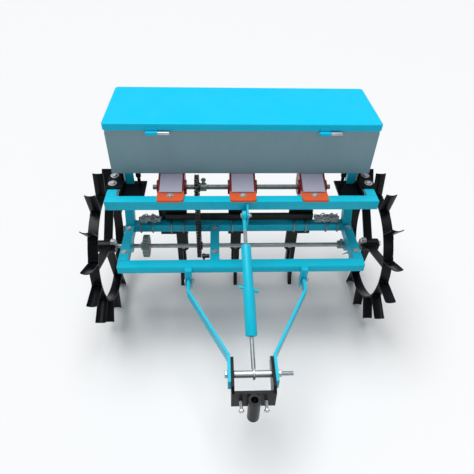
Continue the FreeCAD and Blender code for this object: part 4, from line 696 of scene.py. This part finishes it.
def painted_shade_behind_flange(material, colour):
    """Painted shade on the casting behind its flange: a dark red mix that turns over at one place along y."""
    body = material.node_tree.nodes["Principled BSDF"]
    link = material.node_tree.links.new
    place = shader(material, "ShaderNodeTexCoord")
    apart = shader(material, "ShaderNodeSeparateXYZ")
    link(place.outputs["Object"], apart.inputs[0])
    back = between(material, apart.outputs["Y"], 0.0, 1.0, PAINTED_SHADE_FROM, PAINTED_SHADE_FROM + PAINTED_SHADE_BLEND)
    film = body.inputs["Base Color"].links[0].from_socket
    link(mixed(material, back, film, colour), body.inputs["Base Color"])


CAST_GRAIN = 260.0         # takes the place of the fine orange peel
bumped(orange_enamel, noise(orange_enamel, CAST_GRAIN, 4.0), 0.22, 0.0006)
# Dark red painted shade on the casting's sides behind the flange, where they lie in shadow.
painted_shade_behind_flange(orange_enamel, (0.17, 0.012, 0.014))
finish_node("meter_housings", orange_enamel, 0.0022, 3)
finish_node("meter_covers", grey_cover, 0.0010)
finish_node("fluted_rollers", cast_grey, 0.0006)
dull_shaft = metal("dull painted shaft", (0.20, 0.235, 0.225), (0.42, 0.60), (0.10, 0.10, 0.09), 0.35)
finish_node("metering_shaft", dull_shaft, 0.0010)
finish_node("shaft_clamp", cast_grey, 0.0010)


# ---- hopper --------------------------------------------------------------------------------------
# Folded sheet steel box, grey enamel, seam-welded at its corners, with a sky blue tray lid.
LID_CORNER_R = 0.014
LID_SHEET = 0.003
LID_MIDDLE = 0.09          # innermost ring of the lid's flat faces
LID_RIM = 0.012
SEAM_BEAD = 0.0011
SEAM_TOP = 0.035           # the seam stops under the lid's lip
grey_enamel = enamel("grey hopper enamel", (0.205, 0.345, 0.40), (0.20, 0.21, 0.22), (0.30, 0.44), 0.05,
                     (0.42, 0.42, 0.41), 0.08)
lid_enamel = enamel("sky blue lid enamel", (0.0, 0.53, 0.80), (0.06, 0.34, 0.42), (0.34, 0.48), 0.0,
                    (0.35, 0.50, 0.55), 0.02, (0.70, 0.80), 0.12)
finish_node("hopper_body", grey_enamel, 0.0014)


def lid_ring(low, high, inset, z):
    """The lid's outline, drawn in by an inset: a rectangle whose corners are quarter circles."""
    radius = max(LID_CORNER_R - inset, 0.0008)
    t = np.linspace(0, np.pi / 2, 7)
    corners = []
    for turn, x, y in ((0, high[0], high[1]), (1, low[0], high[1]), (2, low[0], low[1]),
                       (3, high[0], low[1])):
        middle = (x - math.copysign(inset + radius, x - (low[0] + high[0]) / 2),
                  y - math.copysign(inset + radius, y - (low[1] + high[1]) / 2))
        angle = t + turn * np.pi / 2
        corners.append(np.column_stack([middle[0] + radius * np.cos(angle),
                                        middle[1] + radius * np.sin(angle), np.full(len(t), z)]))
    return np.concatenate(corners)


lid_low, lid_high = map(np.array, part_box("hopper_lid"))
under = lid_high[2] - LID_SHEET
lid_rows = [(LID_MIDDLE, under), (LID_RIM, under), (LID_SHEET + 0.002, under - 0.0004),
            (LID_SHEET, under - 0.003), (LID_SHEET, lid_low[2] + 0.0006), (LID_SHEET - 0.0008, lid_low[2]),
            (0.0008, lid_low[2]), (0.0, lid_low[2] + 0.0008), (0.0, lid_high[2] - 0.0045),
            (0.0006, lid_high[2] - 0.0022), (0.0020, lid_high[2] - 0.0007), (0.0044, lid_high[2]),
            (LID_RIM, lid_high[2]), (LID_MIDDLE, lid_high[2])]
lid_points = np.concatenate([lid_ring(lid_low, lid_high, inset, z) for inset, z in lid_rows])
lid_around = len(lid_points) // len(lid_rows)
make_piece("hopper_lid_tray", [(lid_points, grid_faces(len(lid_rows), lid_around))], lid_enamel, "lid",
           "blue_paint", "hopper_lid")

hopper_low, hopper_high = map(np.array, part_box("hopper_body"))
seams = []
for x in (hopper_low[0], hopper_high[0]):
    seams += bead([(x, hopper_low[1], hopper_low[2] + LID_SHEET),
                   (x, hopper_low[1], hopper_high[2] - SEAM_TOP)], SEAM_BEAD)
make_piece("hopper_corner_seams", seams, grey_enamel, "frame", "hopper_paint")


# ---- lid hinges ----------------------------------------------------------------------------------
# Two weld-on bullet hinges: the painted barrel goes with the lid, the plated half stays on the box.
BARREL_R = 0.0080
PIN_SIDE_R = 0.0073
PIN_CORE_R = 0.0044
NOSE = 0.005
LEAF_SOFT = 0.0006         # the ends of a leaf are drawn in over this length
LEAF_UP = 0.014            # how far the lid's leaf goes up its lip


def bullet(start, direction, length, radius, nose):
    """A barrel with a domed nose at its far end: r = R cos k over the last stretch."""
    k = np.linspace(0, np.pi / 2 * 0.98, 7)
    profile = [(0.0, radius - 0.0006), (0.0005, radius)]
    profile += [(length - nose + nose * math.sin(a), radius * math.cos(a) + 1e-5) for a in k]
    return turned_grid(start, direction, profile, 28)


def leaf(x0, x1, y0, y1, z0, z1):
    """A flat leaf along the hinge line, its end faces drawn in to nine tenths."""
    ring = np.array([(y0, z0), (y1, z0), (y1, z1), (y0, z1)])
    middle = ring.mean(0)
    rows = [np.column_stack([np.full(4, x), middle + (ring - middle) * size])
            for x, size in ((x0, 0.9), (x0 + LEAF_SOFT, 1.0), (x1 - LEAF_SOFT, 1.0), (x1, 0.9))]
    return np.concatenate(rows), grid_faces(4, 4)


barrel_parts, pin_parts = [], []
hinge_at = joint_at["lid"]
hinge_y, hinge_z = hinge_at[1:]
for low, high in solids("lid_hinge_barrels"):
    x0, x1 = low[0] + 0.006, high[0] - 0.002
    barrel_parts.append(bullet((high[0], *hinge_at[1:]), (-1, 0, 0), high[0] - low[0], BARREL_R, NOSE))
    barrel_parts.append(leaf(x0, x1, hinge_y, lid_low[1], hinge_z + 0.0010, hinge_z + 0.0077))
    barrel_parts.append(leaf(x0, x1, lid_low[1] - 0.0024, lid_low[1], hinge_z + 0.0012, lid_low[2] + LEAF_UP))
    barrel_parts += bead([(x, lid_low[1] - 0.0012, lid_low[2] + LEAF_UP) for x in (x0, x1)], 0.0014)
for low, high in solids("lid_hinge_pins"):
    start = [b for b in solids("lid_hinge_barrels") if abs(b[1][0] - low[0]) < 0.04][0][1][0] + 0.0004
    x0, x1 = start + 0.001, high[0] - 0.006
    pin_parts.append(bullet((start, *hinge_at[1:]), (1, 0, 0), high[0] - start, PIN_SIDE_R, NOSE))
    pin_parts.append(turned_grid((start - 0.028, *hinge_at[1:]), (1, 0, 0),
                                 [(0, 0.004), (0.0005, PIN_CORE_R), (0.0286, PIN_CORE_R)], 20))
    pin_parts.append(leaf(x0, x1, hinge_y, hopper_low[1], hinge_z - 0.0044, hinge_z - 0.0004))
    pin_parts += bead([(x, hopper_low[1] - 0.0004, hinge_z - 0.0048) for x in (x0, x1)], 0.0013)
make_piece("lid_hinge_barrels", barrel_parts, lid_enamel, "lid", "blue_paint", "lid_hinge_barrels")
make_piece("lid_hinge_pins", pin_parts, zinc, "frame", "zinc", "lid_hinge_pins")


# ---- brackets under the hopper -------------------------------------------------------------------
# Black plate brackets bolted on the arms, with a welded shelf, a blue hanger plate and a steady rod.
finish_node("hopper_brackets", black_enamel, 0.0010)
HANGER_ROD_R = 0.007
KNOB_HIGH = 0.020
rod_parts = []
for low, high in solids("hanger_rods"):
    x, y = ((low + high) / 2)[:2]
    knob_low = high[2] - KNOB_HIGH
    rod_parts.append(thread_parts((x, y, low[2]), (0, 0, 1), knob_low - low[2] + 0.001, HANGER_ROD_R, 0.002))
    rod_parts.append(hexagon_parts((x, y, low[2]), (0, 0, 1), 0.008, 0.0118))
    rod_parts.append(hexagon_parts((x, y, knob_low), (0, 0, 1), high[2] - knob_low, 0.0119))
make_piece("hanger_rods", rod_parts, black_enamel, "frame", "black_paint", "hanger_rods")


# ---- openers -------------------------------------------------------------------------------------
# Flat plates held behind the rear bar by U-bolts, shanks and soil knives below them, seed boots
# behind the knives, and bare hoses from the meters down into the boots.
soil_black = enamel("worn black enamel", (0.006, 0.006, 0.0075), (0.16, 0.15, 0.14), (0.34, 0.55), 0.0,
                    (0.10, 0.08, 0.06), 0.12, (0.56, 0.70))
for part in ("opener_shanks", "opener_knives", "opener_boots", "rear_tie_bar", "clamp_plates"):
    finish_node(part, soil_black, 0.0012)


def rubber(name, colour):
    """Black hose: matt and dusty, with a fine unevenness that lies across its length."""
    material, body, link = new_material(name)
    dusty = between(material, noise(material, 20.0, 5.0), 0.0, 0.25)
    link(mixed(material, dusty, colour, (0.16, 0.15, 0.13)), body.inputs["Base Color"])
    link(between(material, noise(material, 60.0, 3.0), 0.45, 0.70), body.inputs["Roughness"])
    bumped(material, noise(material, 180.0, 3.0, (0.2, 0.2, 3.0)), 0.25, 0.0008)
    return material


finish_node("seed_tubes", rubber("black seed hose", (0.012, 0.012, 0.013)), 0.0006)

UBOLT_R = 0.004
UBOLT_BEND = 0.011
UBOLT_NUT_HALF = 0.0069    # from the node's lowest point, under its nut, up to the rod's middle
dark_zinc = metal("tarnished zinc", (0.36, 0.37, 0.37), (0.30, 0.55), (0.16, 0.13, 0.10), 0.5)
ubolt_parts = []
plate_back = solids("clamp_plates")[0][1][1]
for low, high in solids("u_bolts"):
    x = (low[0] + high[0]) / 2
    front = low[1] + UBOLT_R
    bottom = low[2] + UBOLT_NUT_HALF
    top = high[2] - UBOLT_NUT_HALF
    seat, back = plate_back + 0.004, plate_back + 0.0115
    turn_y = front + UBOLT_BEND
    turns = [(UBOLT_BEND * np.sin(k), UBOLT_BEND * np.cos(k)) for k in np.linspace(0, np.pi / 2, 7)]
    path = [(x, back, top), (x, seat, top), (x, turn_y + 0.004, top)]
    path += [(x, turn_y - a, top - UBOLT_BEND + b) for a, b in turns]
    path += [(x, front, bottom + UBOLT_BEND + 0.004)]
    path += [(x, turn_y - b, bottom + UBOLT_BEND - a) for a, b in turns]
    path += [(x, turn_y + 0.004, bottom), (x, seat, bottom), (x, back, bottom)]
    ubolt_parts.append(carried(path, circle(UBOLT_R, 14)))
    for z in (bottom, top):
        ubolt_parts.append(washer_parts((x, plate_back, z), (0, 1, 0), 0.0012, 0.0085))
        ubolt_parts.append(hexagon_parts((x, plate_back + 0.0012, z), (0, 1, 0), 0.0062, 0.0072))
        ubolt_parts.append(thread_parts((x, plate_back + 0.007, z), (0, 1, 0), high[1] - plate_back - 0.007,
                                        UBOLT_R, 0.00125))
make_piece("u_bolts", ubolt_parts, dark_zinc, "frame", "zinc", "u_bolts")

opener_bolt_parts = []
for low, high in solids("opener_bolts"):
    x, z = (low[0] + high[0]) / 2, (low[2] + high[2]) / 2
    opener_bolt_parts += through_bolt((x, low[1] + 0.0072, z), (x, high[1] - 0.0072, z), BOLT_R, 0.0, 0.0004)
make_piece("opener_bolts", opener_bolt_parts, dark_zinc, "frame", "zinc", "opener_bolts")


# ---- covering chains on the rear bar -------------------------------------------------------------
# The plated drag chains of the outer openers, gathered up and laid in loose coils on the rear bar.
WIRE_R = 0.0025
LINK_LONG = 0.0140
LINK_WIDE = 0.0064
HEAP_LAYERS, HEAP_ROWS = 4, 3
rng = np.random.default_rng(11)


def oval_link(centre, along, twist):
    """One oval link: a round wire carried round a stadium outline in a plane turned about its length."""
    along, side, up = frame_of(along)
    across = math.cos(twist) * side + math.sin(twist) * up
    t = np.linspace(0, 2 * np.pi, 22, endpoint=False)
    stretch = np.sign(np.cos(t)) * (LINK_LONG - LINK_WIDE)
    path = (np.asarray(centre) + (stretch + LINK_WIDE * np.cos(t))[:, None] * along
            + (LINK_WIDE * np.sin(t))[:, None] * across)
    return carried(path, circle(WIRE_R, 8), closed=True)


def heap_of_chain(node):
    """Links laid in wavy rows, layer over layer, inside the heap's box, each leaning by chance."""
    low, high = map(np.array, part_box(node))
    room = WIRE_R + LINK_WIDE
    x0, x1 = low[0] + LINK_LONG, high[0] - LINK_LONG
    y0, y1 = low[1] + room * 0.6, high[1] - room * 0.6
    parts = []
    spacing = 2 * (LINK_LONG - WIRE_R * 1.5)
    count = 0
    for z in np.linspace(low[2] + room * 0.75, high[2] - room * 0.75, HEAP_LAYERS):
        for row, y in enumerate(np.linspace(y0, y1, HEAP_ROWS)):
            inset = rng.uniform(0, 0.006)
            xs = np.arange(x0 + inset, x1 - inset, spacing)
            for k, x in enumerate(xs):
                wave = 0.0035 * math.sin(0.21 * k * spacing * 1000 + 2.1 * row + z * 300)
                lift = 0.0016 * math.sin(1.3 * k + row * 1.7)
                along = (1.0, rng.uniform(-0.9, 0.9), rng.uniform(-0.5, 0.5))
                twist = math.pi / 4 + (count % 2) * math.pi / 2 + rng.uniform(-0.3, 0.3)
                place = np.array((x, y + wave, z + lift))
                place = np.clip(place, low + room * 0.95, high - room * 0.95)
                parts.append(oval_link(place, along, twist))
                count += 1
    return parts


for node in ("chain_bundle_left", "chain_bundle_right"):
    make_piece(node + "_links", heap_of_chain(node), zinc, "frame", "zinc", node)


# ---- drawbar -------------------------------------------------------------------------------------
# Two flat bars on edge from channel clips on the front bar, bent in to the hitch; sky blue.
finish_node("drawbar_clips", blue_enamel, 0.0008)
for part in ("drawbar_arm_left", "drawbar_arm_right"):
    finish_node(part, blue_enamel, 0.0014, 3)

pivot_parts = []
for low, high in solids("pivot_bolts"):
    y, z = (low[1] + high[1]) / 2, (low[2] + high[2]) / 2
    pivot_parts += through_bolt((low[0] + 0.006, y, z), (high[0] - 0.012, y, z), BOLT_R, 0.0, 0.0050)
make_piece("drawbar_pivot_bolts", pivot_parts, zinc, "frame", "zinc", "pivot_bolts")


# ---- hitch ---------------------------------------------------------------------------------------
# Black welded clevis with the pin tube in front, two set screws, and the long plated bolt with its
# sleeve across the ears.
finish_node("hitch_clevis", black_enamel, 0.0024, 3)
SCREW_HEX, SCREW_HEX_R = 0.007, 0.0106
screw_parts = []
for low, high in solids("adjusting_bolts"):
    x, z = (low[0] + high[0]) / 2, (low[2] + high[2]) / 2
    screw_parts.append(thread_parts((x, low[1] + 0.006, z), (0, 1, 0), high[1] - low[1] - 0.006, BOLT_R))
    screw_parts.append(hexagon_parts((x, low[1] + SCREW_HEX, z), (0, -1, 0), SCREW_HEX, SCREW_HEX_R))
    screw_parts.append(hexagon_parts((x, high[1] - 0.008, z), (0, 1, 0), SCREW_HEX, SCREW_HEX_R))
make_piece("clevis_set_screws", screw_parts, zinc, "clevis", "zinc", "adjusting_bolts")

hitch_at = joint_at["clevis"]
hitch = solids("hitch_bolt")
bolt_low, bolt_high = max(hitch, key=lambda box: box[1][0] - box[0][0])
nut_low, nut_high = min(hitch, key=lambda box: box[1][0] - box[0][0])
HITCH_R, HITCH_HEX_R = 0.008, 0.0148
HITCH_HEAD = 0.011
hitch_parts = [hexagon_parts((bolt_low[0] + HITCH_HEAD, *hitch_at[1:]), (-1, 0, 0), HITCH_HEAD, HITCH_HEX_R),
               hexagon_parts((nut_low[0], *hitch_at[1:]), (1, 0, 0), nut_high[0] - nut_low[0], HITCH_HEX_R),
               washer_parts((nut_low[0] - 0.0002, *hitch_at[1:]), (1, 0, 0), 0.0016, 0.0165),
               turned_grid((bolt_low[0] + 0.010, *hitch_at[1:]), (1, 0, 0),
                           [(0, HITCH_R), (nut_low[0] - bolt_low[0] - 0.008, HITCH_R)], 28),
               thread_parts((nut_low[0] + 0.002, *hitch_at[1:]), (1, 0, 0), bolt_high[0] - nut_low[0] - 0.002,
                            HITCH_R, 0.002, 28)]
make_piece("hitch_bolt", hitch_parts, zinc, "drawbar", "zinc", "hitch_bolt")
finish_node("hitch_sleeve", zinc, 0.0012)


# ---- top link ------------------------------------------------------------------------------------
# A blue eye rod and a plated rod screwed into a stepped blue turnbuckle tube with a crossing handle.
link_axis = np.array(next(j["axis"] for j in frame["joints"] if j["name"] == "turnbuckle"), float)
link_axis /= np.linalg.norm(link_axis)
link_start = joint_at["top_link"]
ROD_R = 0.008


def along_link(distance):
    return link_start + link_axis * distance


EYE_R = 0.021
upper_parts = [turned_ring(link_start - np.array((0.008, 0, 0)), (1, 0, 0),
                           [(0, 0.0062), (0, EYE_R - 0.0015), (0.0015, EYE_R), (0.0145, EYE_R),
                            (0.016, EYE_R - 0.0015), (0.016, 0.0062)], 40)]
upper_parts.append(turned_grid(along_link(0.016), link_axis,
                               [(0, ROD_R * 0.98), (0.042, ROD_R * 0.98), (0.046, ROD_R * 0.90)], 24))
make_piece("upper_link_eye", upper_parts, blue_enamel, "top_link", "blue_paint", "upper_rod")
make_piece("upper_link_thread", [thread_parts(along_link(0.060), link_axis, 0.154, ROD_R * 0.97, 0.002, 24)],
           zinc, "top_link", "zinc")

LOWER_ROD_FROM = 0.474
eye_inner = 0.0142
reach = (hitch_at[1] - link_start[1]) / link_axis[1]
eye_centre = along_link(reach)
eye = turned_ring(eye_centre - np.array((0.004, 0, 0)), (1, 0, 0),
                  [(0, eye_inner), (0, EYE_R - 0.001), (0.001, EYE_R), (0.007, EYE_R), (0.008, EYE_R - 0.001),
                   (0.008, eye_inner)], 48)
lower_parts = [eye, turned_grid(along_link(LOWER_ROD_FROM), link_axis,
                                [(0, ROD_R * 0.96), (0.012, ROD_R * 0.96),
                                 (reach - LOWER_ROD_FROM - 0.0175, ROD_R * 0.96)], 24),
               thread_parts(along_link(0.386), link_axis, 0.125, ROD_R * 0.985, 0.002, 24)]
make_piece("lower_link_rod", lower_parts, zinc, "link_rod", "zinc", "lower_rod")

BUCKLE_START, BUCKLE_STEP, BUCKLE_END = 0.125, 0.300, 0.475
UPPER_TUBE_R, LOWER_TUBE_R, BUCKLE_BORE = 0.0195, 0.0220, 0.0083
step_at, long = BUCKLE_STEP - BUCKLE_START, BUCKLE_END - BUCKLE_START
profile = [(0, BUCKLE_BORE), (0, UPPER_TUBE_R - 0.003), (0.0012, UPPER_TUBE_R - 0.0006),
           (0.003, UPPER_TUBE_R), (step_at - 0.002, UPPER_TUBE_R), (step_at + 0.001, LOWER_TUBE_R),
           (long - 0.005, LOWER_TUBE_R), (long - 0.0015, LOWER_TUBE_R - 0.0015),
           (long, LOWER_TUBE_R - 0.005), (long, BUCKLE_BORE)]
buckle_parts = [turned_ring(along_link(BUCKLE_START), link_axis, profile, 48)]
HANDLE_TILT = 0.27
cross = link_axis * HANDLE_TILT + np.array((1.0, 0.0, 0.0))
cross /= np.linalg.norm(cross)
for way in (-1, 1):
    buckle_parts.append(turned_grid(along_link(BUCKLE_STEP) + way * cross * 0.017, way * cross,
                                    [(0, 0.0058), (0.0205, 0.0058), (0.0222, 0.0050), (0.0228, 0.0030)], 20))
    buckle_parts.append(turned_grid(along_link(BUCKLE_STEP) + way * cross * 0.0185, way * cross,
                                    [(0, 0.0088), (0.0022, 0.0082), (0.0036, 0.0060)], 20))
make_piece("turnbuckle_tube", buckle_parts, blue_enamel, "turnbuckle", "blue_paint", "turnbuckle")

low, high = map(np.array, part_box("top_link_bolt"))
y, z = (low[1] + high[1]) / 2, (low[2] + high[2]) / 2
link_bolt = through_bolt((low[0] + 0.008, y, z), (high[0] - 0.014, y, z), BOLT_R, 0.0, 0.0068)
make_piece("top_link_bolt", link_bolt, zinc, "frame", "zinc", "top_link_bolt")


# ---- floor, light and camera ---------------------------------------------------------------------
# A plain pale floor, a broad soft sun overhead, a weak strip in front and a dim white sky.
floor_material, floor_body, _ = new_material("pale floor")
floor_body.inputs["Base Color"].default_value = (0.74, 0.745, 0.75, 1.0)
floor_body.inputs["Roughness"].default_value = 0.9
bpy.ops.mesh.primitive_plane_add(size=60.0, location=(0, 0, -0.0008))
floor = bpy.context.object
floor.name = "floor"
floor.data.materials.append(floor_material)

world = bpy.data.worlds.new("studio")
bpy.context.scene.world = world
world.use_nodes = True
world.node_tree.nodes["Background"].inputs["Color"].default_value = (0.93, 0.96, 1.0, 1.0)
world.node_tree.nodes["Background"].inputs["Strength"].default_value = 0.26

sky_light = bpy.data.lights.new("overhead", "SUN")
sky_light.energy = 3.3
sky_light.angle = math.radians(50)
overhead = placed("overhead", sky_light)
overhead.rotation_euler = (math.radians(-9), math.radians(-8), 0.0)

strip = bpy.data.lights.new("front strip", "AREA")
strip.shape = "RECTANGLE"
strip.size, strip.size_y = 2.4, 0.6
strip.energy = 5.0
front_strip = placed("front strip", strip)
front_strip.location = (0.8, -2.6, 2.4)
strip_look = Vector((0.0, 0.0, 0.5)) - front_strip.location
front_strip.rotation_euler = strip_look.to_track_quat("-Z", "Y").to_euler()

PITCH, YAW, ROLL = math.radians(41.9), math.radians(3.4), math.radians(1.9)
CAMERA_PLACE = (-0.1025, -1.2675, 1.7305)
SENSOR_MM, LENS_MM = 36.0, 33.0
forward = Vector((math.sin(YAW) * math.cos(PITCH), math.cos(YAW) * math.cos(PITCH), -math.sin(PITCH)))
right = Vector((math.cos(YAW), -math.sin(YAW), 0.0))
up = right.cross(forward)
right_r = right * math.cos(ROLL) + up * math.sin(ROLL)
up_r = up * math.cos(ROLL) - right * math.sin(ROLL)
camera = placed("camera", bpy.data.cameras.new("camera"))
camera.data.sensor_width = SENSOR_MM
camera.data.lens = LENS_MM
turn = Matrix((right_r, up_r, -forward)).transposed().to_4x4()
camera.matrix_world = Matrix.Translation(CAMERA_PLACE) @ turn
bpy.context.scene.camera = camera
bpy.context.scene.view_settings.view_transform = "Standard"
